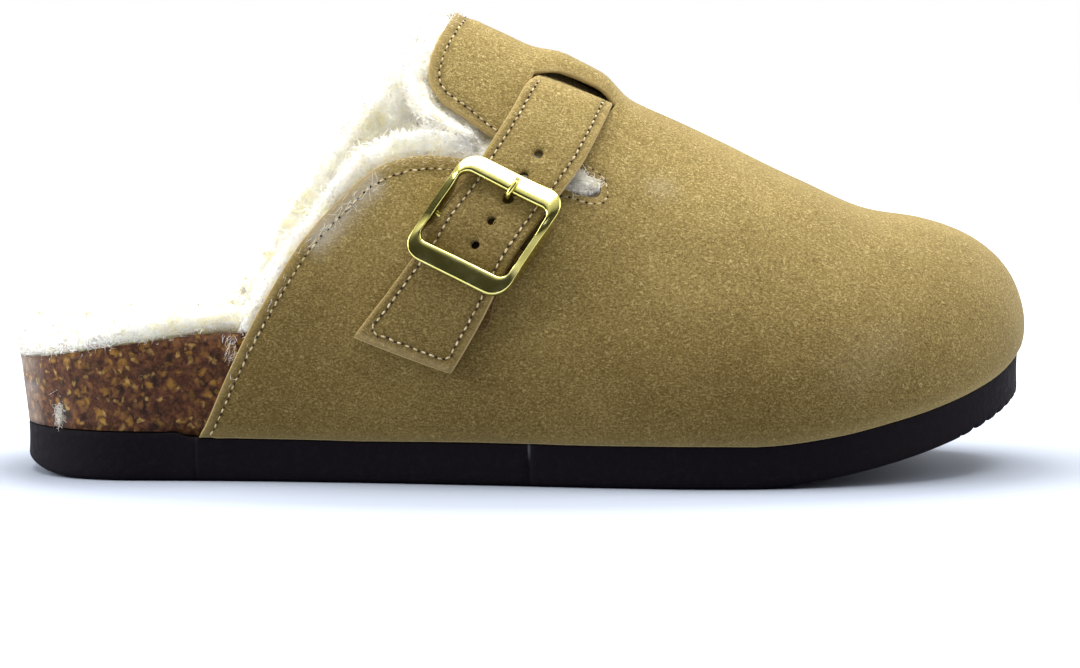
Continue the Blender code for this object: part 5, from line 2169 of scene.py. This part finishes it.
@dataclass
class FoamOutsole:
    """The foam outsole: rounded edges, lugs and cross grooves at the toe, a wave tread and mould lines."""

    last: Last
    seat: Seat
    stations: int = 190
    columns: int = 41
    low_round: float = 1.3
    top_round: float = 0.5
    groove_x: float = 206.0
    groove_pitch: float = 5.8
    groove_width: float = 1.7
    groove_depth: float = 1.4
    groove_ramp: float = 0.4
    scallop_k: float = 0.826
    scallop_pitch: float = 0.021
    scallop_depth: float = 1.1
    scallop_rows: int = 10
    tread_pitch: float = 7.4
    tread_depth: float = 0.8
    tread_from: Pair = (14.0, 18.0)
    tread_to: Pair = (196.0, 200.0)
    tread_wave: float = 2.4
    tread_wave_pitch: float = 19.0
    tread_opens: Pair = (0.0, 0.2)
    tread_closes: Pair = (0.32, 0.52)
    mould_x: Pair = (47.5, 133.2)
    mould_depth: float = 0.22
    mould_edge: Pair = (0.15, 0.5)
    mould_rows: tuple[float, ...] = (-0.5, -0.2, 0.2, 0.5)
    pale_width: Pair = (0.3, 0.25)
    pale_z: tuple[Pair, Pair] = ((1.0, 5.0), (6.0, 9.5))
    pale_share: Pair = (0.03, 0.40)
    side_hollow: float = 0.12
    margin_outer: Pair = (0.07, 0.10)
    margin_inner: Pair = (0.90, 0.93)

    def groove(self, x: Array) -> Array:
        """Depth of the cross grooves in the lifted front.

        Args:
            x: Places along the sole.

        Returns:
            The depth at each place.
        """
        phase = np.mod(x - self.groove_x, self.groove_pitch)
        width, soft = self.groove_width, self.groove_ramp
        cutting = ramp(phase, 0, soft) * (1 - ramp(phase, width - soft, width))
        return self.groove_depth * np.where(x >= self.groove_x, cutting, 0.0)

    def scallop(self, k: Array) -> Array:
        """Depth of the notches between the lugs round the toe's edge."""
        lug = np.abs(np.sin(np.pi * (k - self.scallop_k) / self.scallop_pitch))
        return self.scallop_depth * (1 - lug) ** 2 * np.where(k > self.scallop_k, 1.0, 0.0)

    def tread(self, x: Array, y: Array) -> Array:
        """Depth of the wave tread under the flat part.

        Args:
            x: Places along the sole.
            y: Places across it.

        Returns:
            The depth at each place.
        """
        wave = self.tread_wave * np.cos(y * 2 * np.pi / self.tread_wave_pitch)
        phase = np.mod((x + wave) / self.tread_pitch, 1.0)
        cutting = ramp(phase, *self.tread_opens) * (1 - ramp(phase, *self.tread_closes))
        return self.tread_depth * cutting * ramp(x, *self.tread_from) * (1 - ramp(x, *self.tread_to))

    def places(self) -> Array:
        """Stations of the sections, closer at the lugs, the grooves and the mould lines.

        Returns:
            The stations, in order.
        """
        stations = np.linspace(0, 1, self.stations).tolist()
        stations += np.arange(self.scallop_k, 1.0, self.scallop_pitch / self.scallop_rows).tolist()
        x = self.groove_x
        while x < self.last.length - 2:
            edges = (0.0, self.groove_ramp, self.groove_width - self.groove_ramp, self.groove_width)
            stations += [float(self.last.place(x + e)) for e in edges]
            x += self.groove_pitch
        for x in self.mould_x:
            stations += [float(self.last.place(x + e)) for e in self.mould_rows]
        return np.unique(np.round(stations, 6))

    def build(self) -> Mesh:
        """Loft the outsole.

        Returns:
            The closed mesh with its mould values.
        """
        last = self.last
        k = self.places()
        x = last.station(k)
        groove, scallop = self.groove(x), self.scallop(k)
        low, high = last.sole_bottom(x) + scallop, last.sole_top(x)
        dip = sum(self.mould_depth * (1 - ramp(np.abs(x - mould), *self.mould_edge))
                  for mould in self.mould_x)
        lowest, highest = low + self.low_round, high - self.top_round
        profile = [(-self.low_round * (1 - math.sin(t)), low + self.low_round * (1 - math.cos(t)))
                   for t in np.linspace(0, np.pi / 2, 5)]
        profile += [(-self.side_hollow * math.sin(math.pi * share), between(lowest, highest, share))
                    for share in np.linspace(0, 1, 8)[1:-1]]
        profile += [(-self.top_round * (1 - math.cos(t)), high - self.top_round * (1 - math.sin(t)))
                    for t in np.linspace(0, np.pi / 2, 4)]
        outer, inner = ([np.stack([*last.edge(k, side, grow - dip), z], -1) for grow, z in profile]
                        for side in Side)
        bottom = []
        for share in np.linspace(0, 1, self.columns)[1:-1]:
            flat = between(outer[0], inner[0], share)
            margin = ramp(share, *self.margin_outer) * (1 - ramp(share, *self.margin_inner))
            cut = groove * margin + scallop * (1 - margin)
            flat[:, 2] = last.sole_bottom(x) + cut + self.tread(flat[:, 0], flat[:, 1]) * margin
            bottom.append(flat)
        top = [between(inner[-1], outer[-1], share) for share in np.linspace(0, 1, 7)[1:-1]]
        ring = np.stack(outer[:1] + bottom + inner + top + outer[:0:-1], axis=1)
        points, faces = loft(ring)
        x, z = points[:, 0], points[:, 2]
        marks = zip(self.mould_x, self.pale_width, self.pale_z, self.pale_share)
        pale = sum(bell(x - mould, width) * ramp(z, *heights) * share
                   for mould, width, heights, share in marks)
        return self.seat.mesh("foam_sole", points, faces, {"mould": pale})


@dataclass
class Strap:
    """The strap, from inside the tunnel to its free tail, with punched holes and sewn edges."""

    run: StrapRun
    seat: Seat
    hidden: float = 9.0
    step: float = 1.05
    wide: float = 11.5
    hole_radius: float = 1.0
    prong_hole_radius: float = 1.35
    hole_pitch: float = 7.0
    hole_count: int = 5
    prong_hole: int = 2
    prong_across: float = 0.8
    gate_at: float = 38.3
    seam_inset: float = 2.2
    seam_depth: float = 0.34
    seam_from: float = 0.8
    seam_tail: float = 0.6
    seam_corner: Pair = (1.2, 1.0)
    seam_points: tuple[int, int] = (60, 12)
    cut_bulge: float = 0.32
    framed_from: Pair = (35.0, 38.0)
    framed_to: Pair = (56.0, 60.0)
    seam_half: float = 0.8
    seam_shade: float = 0.7
    thread_lift: float = 0.12
    crown: float = 0.28
    crown_drop: float = 0.10
    hole_dip: float = 0.30
    hole_reach: float = 0.9
    lumps: tuple[Lumps, ...] = table(Lumps, (7.0, 0.10, 41))
    raw_edge: float = 0.7
    tail_band: Pair = (2.4, 1.4)
    tail_scuff: float = 0.06
    pale_edge: float = 0.4
    # Painted shade: the strap darkens from the instep down towards its tail
    dark: float = 0.78
    painted_shade_at: Pair = (12.0, 62.0)

    def holes(self) -> list[float]:
        """Lengths along the strap of its punched holes."""
        return [self.gate_at + (i - self.prong_hole) * self.hole_pitch for i in range(self.hole_count)]

    def flat_seam(self) -> Array:
        """The sewn line: down one edge, across the tail and up the other.

        Returns:
            Lengths along the strap and distances across it.
        """
        corner_at, corner_across = self.seam_corner
        points_down, points_across = self.seam_points
        end = self.run.tail - self.seam_inset - self.seam_tail
        down = np.linspace(self.seam_from, end - corner_at, points_down)
        half = along(STRAP, "half", down) - self.seam_inset
        left, right = np.stack([down, -half], 1), np.stack([down, half], 1)
        edge = float(along(STRAP, "half", end)) - self.seam_inset - corner_across
        across = np.stack([np.full(points_across, end), np.linspace(-edge, edge, points_across)], 1)
        return np.concatenate([left, across, right[::-1]])

    def lift(self, at: Array, across: Array) -> Array:
        """Height of the strap's outer face off the last.

        Args:
            at: Lengths from the slot.
            across: Distances across.

        Returns:
            The heights.
        """
        seam = distance_to(np.stack([at, across], 1), self.flat_seam())
        share = np.abs(across) / along(STRAP, "half", at)
        height = along(STRAP, "under", at) + self.run.thick - self.seam_depth * bell(seam, self.seam_half)
        height += self.crown * (1 - share ** 3) - self.crown_drop
        for hole in self.holes():
            away = np.hypot(at - hole, across - self.prong_across)
            height -= self.hole_dip * bell(away - self.hole_radius, self.hole_reach)
        return height + lumpy(np.stack([at, across, np.zeros(len(at))], 1), self.lumps)

    def build(self) -> Mesh:
        """Cut the strap, punch it and lay it on its run.

        Returns:
            The closed mesh with its edge, stitch, scuff and tone values.
        """
        run = self.run
        corners = np.array([(-self.hidden, -self.wide), (run.tail, -self.wide), (run.tail, self.wide),
                            (-self.hidden, self.wide), (-self.hidden, -self.wide)])
        loop = np.concatenate([spaced(corners[i:i + 2], self.step)[:-1] for i in range(4)])
        turn = circle(16)
        rings = []
        for i, hole in enumerate(self.holes()):
            radius = (self.prong_hole_radius if i == self.prong_hole else self.hole_radius) + self.cut_bulge
            at = hole + radius * np.sin(turn)
            across = (self.prong_across + radius * np.cos(turn)) * self.wide / along(STRAP, "half", at)
            rings.append(np.stack([at, across], 1))
        flat, faces = fill_pattern(loop, rings, self.step)
        at = flat[:, 0]
        across = flat[:, 1] / self.wide * along(STRAP, "half", at)
        lift = self.lift(at, across)
        outer = run.point(at, across, lift)
        inner = run.point(at, across, along(STRAP, "under", at))
        points, solid, cut, source = hide_solid(faces, outer, inner, self.cut_bulge)
        seam = distance_to(np.stack([at, across], 1), self.flat_seam())
        extra = np.zeros(len(points) - len(flat))
        border = np.minimum(along(STRAP, "half", at) - np.abs(across), run.tail - at)
        raw = bell(np.clip(border, 0, None), self.raw_edge)
        band = ramp(at, *(run.tail - inset for inset in self.tail_band))
        to_holes = [np.hypot(at - hole, across - self.prong_across) for hole in self.holes()]
        sides, cut = source[len(flat):], cut[len(flat):]
        # Painted shade: the punched holes' walls and the cut edges inside the buckle's frame are drawn dark
        # instead of pale
        punched = (np.min(to_holes, axis=0) < 2.0)[sides] * cut
        framed = ramp(at, *self.framed_from) * (1 - ramp(at, *self.framed_to))
        shaded_walls = np.maximum(punched, framed[sides] * cut)
        pale = self.pale_edge * np.clip(raw + 0.5 * band, 0, 1) * (1 - framed)
        values = {
            "edge": np.concatenate([pale, cut - shaded_walls]),
            "stitch": np.concatenate([bell(seam, self.seam_shade), 2.0 * shaded_walls]),
            "scuff": np.concatenate([self.tail_scuff * band, extra]),
            # tone: painted shade, darker towards the tail
            "tone": np.concatenate([self.dark * ramp(at, *self.painted_shade_at), extra]),
        }
        made = self.seat.mesh("strap_leather", points, solid, values)
        # Punched holes' walls take the near-black material: painted shade
        dark = np.concatenate([np.zeros(len(flat)), punched]) > 0
        made.polygons.foreach_set("material_index", [int(dark[face].all()) for face in solid])
        return made

    def seam_path(self) -> tuple[Array, Array]:
        """The sewn line on the strap.

        Returns:
            Its points and the outward directions there.
        """
        line = self.flat_seam()
        lift = self.lift(*line.T) + self.thread_lift
        return self.run.point(*line.T, lift), self.run.normal(*line.T)


@dataclass
class Buckle:
    """The brass frame with its hinge bar, and the prong."""

    run: StrapRun
    seat: Seat
    at: float = 47.2
    frame_width: float = 29.2
    frame_length: float = 29.9
    window_width: float = 25.0
    window_length: float = 19.6
    frame_corner: float = 5.2
    window_corner: float = 2.4
    low: float = 1.6
    bridge: float = 6.4
    top_edge: float = 8.2
    low_bar_edge: float = 9.0
    top_crown: float = 9.2
    side_top: float = 8.0
    hinge_at: float = 2.0
    hinge_lift: float = 2.6
    hinge_radius: float = 0.7
    prong_radius: float = 0.6
    prong_across: float = 0.8
    gap: float = 0.3
    low_bar_y: Pair = (2.0, 12.0)
    side_rises: Pair = (0.0, 0.22)
    side_falls: Pair = (0.78, 1.0)
    notch_length: float = 4.9
    tip_lift: float = 0.1
    tip_round: float = 0.6
    tip_least: float = 0.05
    prong_step: float = 0.35
    wrap: Pair = (125.0, -90.0)
    wrap_points: int = 14
    prong_points: int = 14

    @property
    def gate(self) -> float:
        """Where the prong comes up through the strap, from the frame's middle."""
        return -self.window_length / 2 + self.gap + self.prong_radius

    def ring(self, width: float, length: float, radius: float) -> Array:
        """A rounded rectangle, with the same number of points for any size.

        Args:
            width: Its size across the strap.
            length: Its size along the strap.
            radius: Of its corners.

        Returns:
            Points across and along, with the share of a side bar at each.
        """
        points = []
        corners = ((1, 1), (-1, 1), (-1, -1), (1, -1))
        for corner, (x, y) in enumerate(corners):
            turns = (corner + np.linspace(0, 1, 9)) * math.pi / 2
            arc = np.stack([x * (width / 2 - radius) + radius * np.cos(turns),
                            y * (length / 2 - radius) + radius * np.sin(turns), np.zeros(9)], 1)
            points.append(arc)
            nx, ny = corners[(corner + 1) % 4]
            turn = (corner + 1) * math.pi / 2
            end = np.array([nx * (width / 2 - radius) + radius * math.cos(turn),
                            ny * (length / 2 - radius) + radius * math.sin(turn), 0.0])
            share = np.linspace(0, 1, 11)[1:-1, None]
            straight = arc[-1] + (end - arc[-1]) * share
            if corner in (1, 3):
                rise = ramp(share, *self.side_rises) * (1 - ramp(share, *self.side_falls))
                straight[:, 2] = rise[:, 0]
            points.append(straight)
        return np.concatenate(points)

    def frame(self) -> Mesh:
        """Make the frame: crowned end bars that bridge the strap, deep side bars and the hinge bar.

        Returns:
            The mesh, notched for the prong's tip.
        """
        outer = self.ring(self.frame_width, self.frame_length, self.frame_corner)
        inner = self.ring(self.window_width, self.window_length, self.window_corner)
        side = outer[:, 2]
        low, crown = between(self.bridge, self.low, side), between(self.top_crown, self.side_top, side)
        edge = between(self.top_edge, self.low_bar_edge, ramp(outer[:, 1], *self.low_bar_y))
        slope = crown - edge
        profile = (
            (0.10, low), (0.02, low + 0.15), (0.0, low + 0.45), (0.0, edge - 0.62), (0.012, edge - 0.34),
            (0.045, edge - 0.12), (0.10, edge), (0.16, edge + 0.10 * slope), (0.40, edge + 0.45 * slope),
            (0.64, edge + 0.80 * slope), (0.78, crown), (0.86, crown - 0.03), (0.93, crown - 0.14),
            (0.98, crown - 0.36), (1.0, crown - 0.7), (1.0, low + 0.7), (0.985, low + 0.42),
            (0.94, low + 0.3))
        rows = []
        for part, lift in profile:
            flat = outer[:, :2] + (inner[:, :2] - outer[:, :2]) * part
            rows.append(self.run.point(self.at + flat[:, 1], flat[:, 0], lift))
        mesh = self.seat.mesh("brass_frame", *loft(np.stack(rows, axis=1), closed=True))
        turn = circle(24)
        reach = (self.frame_width + self.window_width) / 4
        bar = [self.run.point(self.at + self.hinge_at + self.hinge_radius * np.cos(turn), c,
                              self.hinge_lift + self.hinge_radius * np.sin(turn))
               for c in np.linspace(-reach, reach, 9)]
        room = self.prong_radius + self.gap
        start = self.at - self.window_length / 2 + 1.0
        notch = [self.run.point(a, self.prong_across + room * np.cos(turn),
                                self.top_crown + self.tip_lift + room * np.sin(turn))
                 for a in np.linspace(start, start - self.notch_length, 5)]
        base = show("frame_blank", mesh)
        tools = []
        for label, rings, way in (("hinge_bar", bar, "UNION"), ("tip_notch", notch, "DIFFERENCE")):
            tool = show(label, self.seat.mesh(label, *loft(np.array(rings), capped=True)))
            change = base.modifiers.new(label, "BOOLEAN")
            change.operation = way
            change.object = tool
            tools.append(tool)
        made = evaluated(base)
        made.name = "brass_frame"
        for tool in (*tools, base):
            bpy.data.objects.remove(tool)
        made.shade_smooth()
        made.set_sharp_from_angle(angle=math.radians(50))
        return made

    def prong(self) -> Mesh:
        """Bend the prong round the hinge bar, up through the strap and into the frame's notch.

        Returns:
            The closed mesh.
        """
        loop = self.hinge_radius + self.gap + self.prong_radius
        turns = np.linspace(*np.radians(self.wrap).tolist(), self.wrap_points)
        route = [(self.hinge_at + loop * math.cos(t), self.hinge_lift + loop * math.sin(t)) for t in turns]
        gate, top = self.gate, self.top_crown + self.tip_lift
        route += [(-5.5, 1.4), (gate + 0.9, 2.6), (gate, 4.4), (gate, top - 1.1), (gate - 0.4, top - 0.25),
                  (gate - 1.2, top), (gate - 4.0, top)]
        line = smooth_curve(np.array(route), self.prong_step)
        heading = unit(np.gradient(line, axis=0))
        turn = circle(self.prong_points)
        to_tip = np.linalg.norm(line - line[-1], axis=1)
        nearing = 1 - np.clip(to_tip / self.tip_round, 0, 1)
        radius = self.prong_radius * np.sqrt(np.clip(1 - nearing ** 2, self.tip_least, 1))
        rows = [self.run.point(self.at + p[0] - h[1] * r * np.sin(turn), self.prong_across + r * np.cos(turn),
                               p[1] + h[0] * r * np.sin(turn)) for p, h, r in zip(line, heading, radius)]
        return self.seat.mesh("brass_prong", *loft(np.array(rows), capped=True))


@dataclass(frozen=True)
class Stitch:
    """One shape that repeats along a sewn line, in millimetres."""

    length: float
    width: float
    shift: float = 0.0


@dataclass
class Stitching:
    """Thread stitches and needle holes along sewn lines, set by a node tree."""

    seat: Seat
    pitch: float = 2.2
    seed: int = 9
    tilt: tuple[Place, Place] = ((-0.05, -0.08, -0.16), (0.05, 0.02, 0.16))
    uneven: tuple[Place, Place] = ((0.82, 0.85, 0.85), (1.1, 1.12, 1.12))

    def tree(self) -> Tree:
        """Build the tree that sets stitches along lines.

        Returns:
            The tree, with named inputs.
        """
        kinds = {"Geometry": "Geometry", "Pitch": "Float", "Length": "Float", "Width": "Float",
                 "Shift": "Float", "Seed": "Int", "Finish": "Material"}
        made = {"Geometry": "Geometry"}
        graph, given, result = new_group("thread_stitches", "GeometryNodeTree", kinds, made)
        curve = graph.add("GeometryNodeMeshToCurve", {"Mesh": given["Geometry"]}).outputs[0]
        pitch = {"Curve": curve, "Length": given["Pitch"]}
        even = graph.add("GeometryNodeResampleCurve", pitch, mode="LENGTH")
        ball = graph.add("GeometryNodeMeshUVSphere", {"Segments": 8, "Rings": 5, "Radius": 0.5})
        size = graph.add("ShaderNodeCombineXYZ", {0: given["Length"], 1: given["Width"], 2: given["Width"]})
        sized = {"Geometry": ball.outputs["Mesh"], "Scale": size.outputs[0]}
        thread = graph.add("GeometryNodeTransform", sized)
        tangent = graph.add("GeometryNodeInputTangent").outputs[0]
        ahead = graph.add("FunctionNodeAlignRotationToVector", {"Vector": tangent}, axis="X").outputs[0]
        facing = {"Rotation": ahead, "Vector": graph.named("facing", "FLOAT_VECTOR")}
        upright = graph.add("FunctionNodeAlignRotationToVector", facing, axis="Z", pivot_axis="X")
        tilt = graph.chance("FLOAT_VECTOR", *self.tilt, given["Seed"])
        placed = graph.add("GeometryNodeInstanceOnPoints", {
            "Points": even.outputs[0], "Instance": thread.outputs[0],
            "Rotation": graph.turned(upright.outputs[0], tilt),
            "Scale": graph.chance("FLOAT_VECTOR", *self.uneven, given["Seed"])})
        way = graph.add("ShaderNodeCombineXYZ", {0: given["Shift"]})
        moved = graph.add("GeometryNodeTranslateInstances", {
            "Instances": placed.outputs[0], "Translation": way.outputs[0], "Local Space": True})
        graph.feed(result["Geometry"], graph.dressed(moved.outputs[0], given["Finish"]))
        return graph.tree

    def sew(self, name: str, path: tuple[Array, Array], stitch: Stitch, material: Finish) -> Piece:
        """Sew one line.

        Args:
            name: The piece's name.
            path: Points of the sewn line, in millimetres, and outward directions at those points.
            stitch: The shape that repeats.
            material: Its finish.

        Returns:
            The piece.
        """
        line, facing = path
        mesh = bpy.data.meshes.new(f"{name}_line")
        mesh.from_pydata(self.seat.points(line).tolist(), [(i, i + 1) for i in range(len(line) - 1)], [])
        layer = mesh.attributes.new("facing", "FLOAT_VECTOR", "POINT")
        layer.data.foreach_set("vector", np.asarray(facing, np.float32).ravel())
        base = show(f"{name}_line", mesh)
        made = show(name, run_tree(base, self.tree(), {
            "Pitch": self.pitch * MM, "Length": stitch.length * MM, "Width": stitch.width * MM,
            "Shift": stitch.shift * MM, "Seed": self.seed, "Finish": material}))
        bpy.data.objects.remove(base)
        return made


@dataclass
class LooseWool:
    """Stray wool: hairs along the collar, fluff at the keyhole and the flap's corner, wisps by the cork."""

    shell: UpperShell
    last: Last
    seat: Seat
    seed: int = 17
    hair: float = 0.032
    hair_points: int = 6
    stray: float = 0.55
    bend: float = 0.7
    lengths: Pair = (0.4, 1.2)
    lifts: Pair = (0.15, 0.7)
    swings: Pair = (2.0, 5.0)
    splay: float = 0.5
    fluff_lengths: Pair = (0.5, 1.2)
    fluff_widths: Pair = (0.8, 1.4)

    def on_suede(self, rng: np.random.Generator, stretch: Hairs) -> list:
        """Hairs that lie along a stretch of the suede.

        Args:
            rng: Source of chance.
            stretch: Where they lie, how many there are and how long they are.

        Returns:
            Points and faces of each.
        """
        parts = []
        first = self.shell.flat(stretch.x, stretch.girth)
        way = self.shell.flat(stretch.to_x, stretch.to_girth) - first
        run = np.linspace(0, 1, self.hair_points)
        low, more = self.lifts
        for _ in range(stretch.count):
            flat = first + way * rng.uniform() + rng.normal(0, stretch.spread, 2)
            turn = math.atan2(way[1], way[0]) + rng.normal(0, self.stray) + rng.choice((0.0, math.pi))
            turn = turn + rng.normal(0, self.bend) * run
            size = stretch.length * rng.uniform(*self.lengths)
            steps = np.stack([np.cos(turn), np.sin(turn)], 1)
            line = flat + np.cumsum(steps, axis=0) * size / self.hair_points
            k, girth = self.shell.unflat(line)
            lift = low + more * rng.uniform() * run
            width = np.full(self.hair_points - 1, self.hair)
            parts.append(whisker(self.shell.point(k, girth, -lift), width))
        return parts

    def by_sole(self, x: float, grow: float, z: float) -> Array:
        """A point beside the outer edge of the sole, at a height."""
        edge_x, edge_y = self.last.edge(float(self.last.place(x)), Side.OUTER, grow)
        return np.array([float(edge_x), float(edge_y), z])

    def fluff(self, rng: np.random.Generator, count: int, middle: Array, spread: Place,
              heading: Array | Place, length: float, curl: float) -> list:
        """A small curly bundle in space.

        Args:
            rng: Source of chance.
            count: How many hairs.
            middle: Where it is.
            spread: How wide it is each way.
            heading: Where its hairs point.
            length: Length of a hair.
            curl: How far a hair swings, as a share of its length.

        Returns:
            Points and faces of each hair.
        """
        parts = []
        run = np.linspace(0, 1, self.hair_points)[:, None]
        for _ in range(count):
            start = middle + rng.normal(0, 1, 3) * spread
            swing = rng.normal(0, curl, 3) * np.sin(run * rng.uniform(*self.swings))
            way = unit(np.array(heading) + rng.normal(0, self.splay, 3))
            line = start + (way * run + swing) * length * rng.uniform(*self.fluff_lengths)
            width = np.full(self.hair_points - 1, self.hair * rng.uniform(*self.fluff_widths))
            parts.append(whisker(line, width))
        return parts

    def build(self) -> Mesh:
        """Lay out all the hairs.

        Returns:
            The joined mesh.
        """
        rng = np.random.default_rng(self.seed)
        shell, last = self.shell, self.last
        key_k, key_girth = last.place(shell.keyhole_x - 0.6), shell.keyhole_girth
        key = shell.point(np.array([key_k]), np.array([key_girth]), 0.0)[0]
        corner = shell.point(np.array([last.place(112.6)]), np.array([0.0]), 1.6)[0]
        bundles = (
            (120, key, (1.5, 0.25, 1.1), last.normal(key_k, key_girth) * 0.30, 1.7, 0.35),
            (240, corner, (1.6, 2.4, 0.5), (-0.35, -0.1, 0.45), 2.6, 0.35),
            (220, self.by_sole(12.4, 0.6, 17.0), (0.6, 0.2, 1.5), (-0.1, -0.2, -0.3), 1.5, 0.35),
            (34, self.by_sole(57.2, -0.6, 34.5), (0.9, 0.3, 2.6), (-0.6, -0.1, -1.3), 3.0, 0.12),
        )
        parts = [hair for stretch in STRAY for hair in self.on_suede(rng, stretch)]
        parts += [hair for bundle in bundles for hair in self.fluff(rng, *bundle)]
        return self.seat.mesh("loose_wool", *joined(parts))


@dataclass
class Studio:
    """The white floor, soft light and the camera at the photograph's angle."""

    seat: Seat
    aim: Place = (136.0, 0.0, 34.9)
    lit: Place = (0.0, 0.0, 0.04)
    elevation: float = 5.0
    distance: float = 850.0
    pixels_per_mm: float = 3.746
    image_width: int = 1080
    sensor: float = 36.0
    floor_half: float = 6.0
    floor_front: float = -0.36
    floor_z: float = -0.0002
    side_light: tuple[float, ...] = (-0.45, 0.25, 0.05, 0.95)
    top_light: tuple[float, ...] = (0.35, 0.85, 0.0, 1.1)

    def camera(self) -> None:
        """Set the camera."""
        tilt = math.radians(self.elevation)
        back = np.array([0.0, -math.cos(tilt), math.sin(tilt)]) * self.distance
        data = bpy.data.cameras.new("camera")
        data.sensor_width = self.sensor
        data.sensor_fit = "HORIZONTAL"
        data.lens = self.sensor * self.pixels_per_mm * self.distance / self.image_width
        data.clip_start, data.clip_end = 0.01, 100.0
        made = show("camera", data)
        made.location = self.seat.points(np.array(self.aim) + back)
        made.rotation_euler = (math.pi / 2 - tilt, 0.0, 0.0)
        bpy.context.scene.camera = made

    def lamp(self, lamp: Lamp) -> None:
        """Add a soft box that faces the shoe.

        Args:
            lamp: Its place, size, power and colour.
        """
        data = bpy.data.lights.new(lamp.name, "AREA")
        data.shape = "RECTANGLE"
        data.size, data.size_y = lamp.size
        data.energy = lamp.power
        data.color = lamp.colour
        made = show(lamp.name, data)
        made.location = lamp.place
        way = np.array(self.lit) - np.array(lamp.place)
        tilt = math.atan2(math.hypot(way[0], way[1]), -way[2])
        made.rotation_euler = (tilt, 0.0, math.atan2(-way[0], way[1]))

    def sky(self) -> None:
        """A white tent that is dimmer on the camera's side."""
        world = bpy.data.worlds.new("tent")
        bpy.context.scene.world = world
        world.use_nodes = True
        graph = Graph(world.node_tree)
        base = world.node_tree.nodes["Background"]
        way = graph.add("ShaderNodeTexCoord").outputs["Generated"]
        parts = graph.add("ShaderNodeSeparateXYZ", {0: way})
        sides = graph.span(parts.outputs[1], *self.side_light)
        above = graph.span(parts.outputs[2], *self.top_light)
        seen = graph.add("ShaderNodeLightPath").outputs["Is Camera Ray"]
        strength = graph.math("MAXIMUM", graph.math("MAXIMUM", sides, above), seen)
        graph.fill(base, {"Color": (1.0, 1.0, 1.0, 1.0), "Strength": strength})

    def build(self) -> None:
        """Set up the floor, lights and camera."""
        mesh = bpy.data.meshes.new("studio_floor")
        reach, front, low = self.floor_half, self.floor_front, self.floor_z
        corners = [(-reach, front, low), (reach, front, low), (reach, reach, low), (-reach, reach, low)]
        mesh.from_pydata(corners, [], [(0, 1, 2, 3)])
        floor = show("studio_floor", mesh, FloorFinish("studio_white").material())
        self.camera()
        self.sky()
        for lamp in LAMPS:
            self.lamp(lamp)
        bpy.context.scene.view_settings.view_transform = "Standard"


def frame_seat() -> Seat:
    """Where the form lies in the frame, by the outsole's box."""
    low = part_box("outsole")[0]
    return Seat(low.x, low.y + max(row.outer for row in OUTLINE) * MM)


def dress(seat: Seat) -> None:
    """Build every piece over the frame, in the order that the shoe is made.

    Args:
        seat: Where the form lies in the frame.
    """
    last = Last()
    run = StrapRun(last)
    shell = UpperShell(last, run, seat)
    wool, locks = FleeceFinish("cream_fleece").material(), FleeceFinish("cream_locks").material()
    thread = ThreadFinish("cream_thread").material()
    brass = BrassFinish("pale_brass").material()

    place_piece(show("foam_sole", FoamOutsole(last, seat).build(), FoamFinish("black_foam").material()),
                Slot.FOAM, "outsole")
    place_piece(show("cork_body", CorkFootbed(last, seat).build(), CorkFinish("pressed_cork").material()),
                Slot.CORK, "cork_footbed")
    insole, insole_face = FleeceInsole(last, seat).build()
    place_piece(show("insole_fleece", insole, wool), Slot.FLEECE, "insole")
    pile = Pile(Tuft(), locks)
    place_piece(pile.grow("insole_pile", insole_face, 2350), Slot.FLEECE)
    fleece = FleeceLining(shell, seat)
    lining, lining_face = fleece.build()
    place_piece(show("lining_fleece", lining, wool), Slot.FLEECE)
    place_piece(pile.grow("lining_pile", lining_face, 2350), Slot.FLEECE)
    plug, plug_face = fleece.plug()
    place_piece(show("keyhole_wool", plug, wool), Slot.FLEECE)
    fine = Pile(Tuft(5, 1.7, 1.0, 1.0, 0.09), locks)
    place_piece(fine.grow("keyhole_pile", plug_face, 80), Slot.FLEECE)

    suede = SuedeFinish("khaki_suede").material()
    place_piece(show("upper_suede", shell.build(), suede), Slot.SUEDE, "upper")
    strap = Strap(run, seat)
    strap_suede = SuedeFinish("strap_suede", patch=70.0).material()
    strap_piece = show("strap_leather", strap.build(), strap_suede)
    shade = DarkFinish("needle_hole").material()
    strap_piece.data.materials.append(shade)
    place_piece(strap_piece, Slot.STRAP, "strap")
    buckle = Buckle(run, seat)
    place_piece(show("brass_frame", buckle.frame(), brass), Slot.BRASS, "buckle_frame")
    place_piece(show("brass_prong", buckle.prong(), brass), Slot.BRASS, "buckle_prong")
    sewing = Stitching(seat)
    stitch, hole = Stitch(1.45, 0.55), Stitch(0.8, 0.6, sewing.pitch / 2)
    # The holes pieces are near-black discs between the stitches: painted shade in the needle holes
    seams = (("upper", shell.seam_path(), Slot.SUEDE), ("strap", strap.seam_path(), Slot.STRAP))
    for part, path, slot in seams:
        place_piece(sewing.sew(f"{part}_stitches", path, stitch, thread), slot)
        place_piece(sewing.sew(f"{part}_holes", path, hole, shade), slot)
    place_piece(show("loose_wool", LooseWool(shell, last, seat).build(), locks), Slot.FLEECE)


def main() -> None:
    """Load the frame, dress it, give the buckle's tab its suede and set the studio."""
    logging.basicConfig(level=logging.INFO, format="%(name)s: %(message)s")
    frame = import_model()
    seat = frame_seat()
    dress(seat)
    tab = frame["nodes"]["buckle_tab"]
    tab.data.materials.clear()
    # The tab's darker brown is its own leather, darkened further as painted shade for the gap under the
    # buckle
    hide = SuedeFinish("tab_suede", deep=(0.03, 0.017, 0.005), base=(0.10, 0.056, 0.017),
                       light=(0.22, 0.135, 0.045), fleck=(0.30, 0.20, 0.08))
    tab.data.materials.append(hide.material())
    Studio(seat).build()


if __name__ == "__main__":
    main()
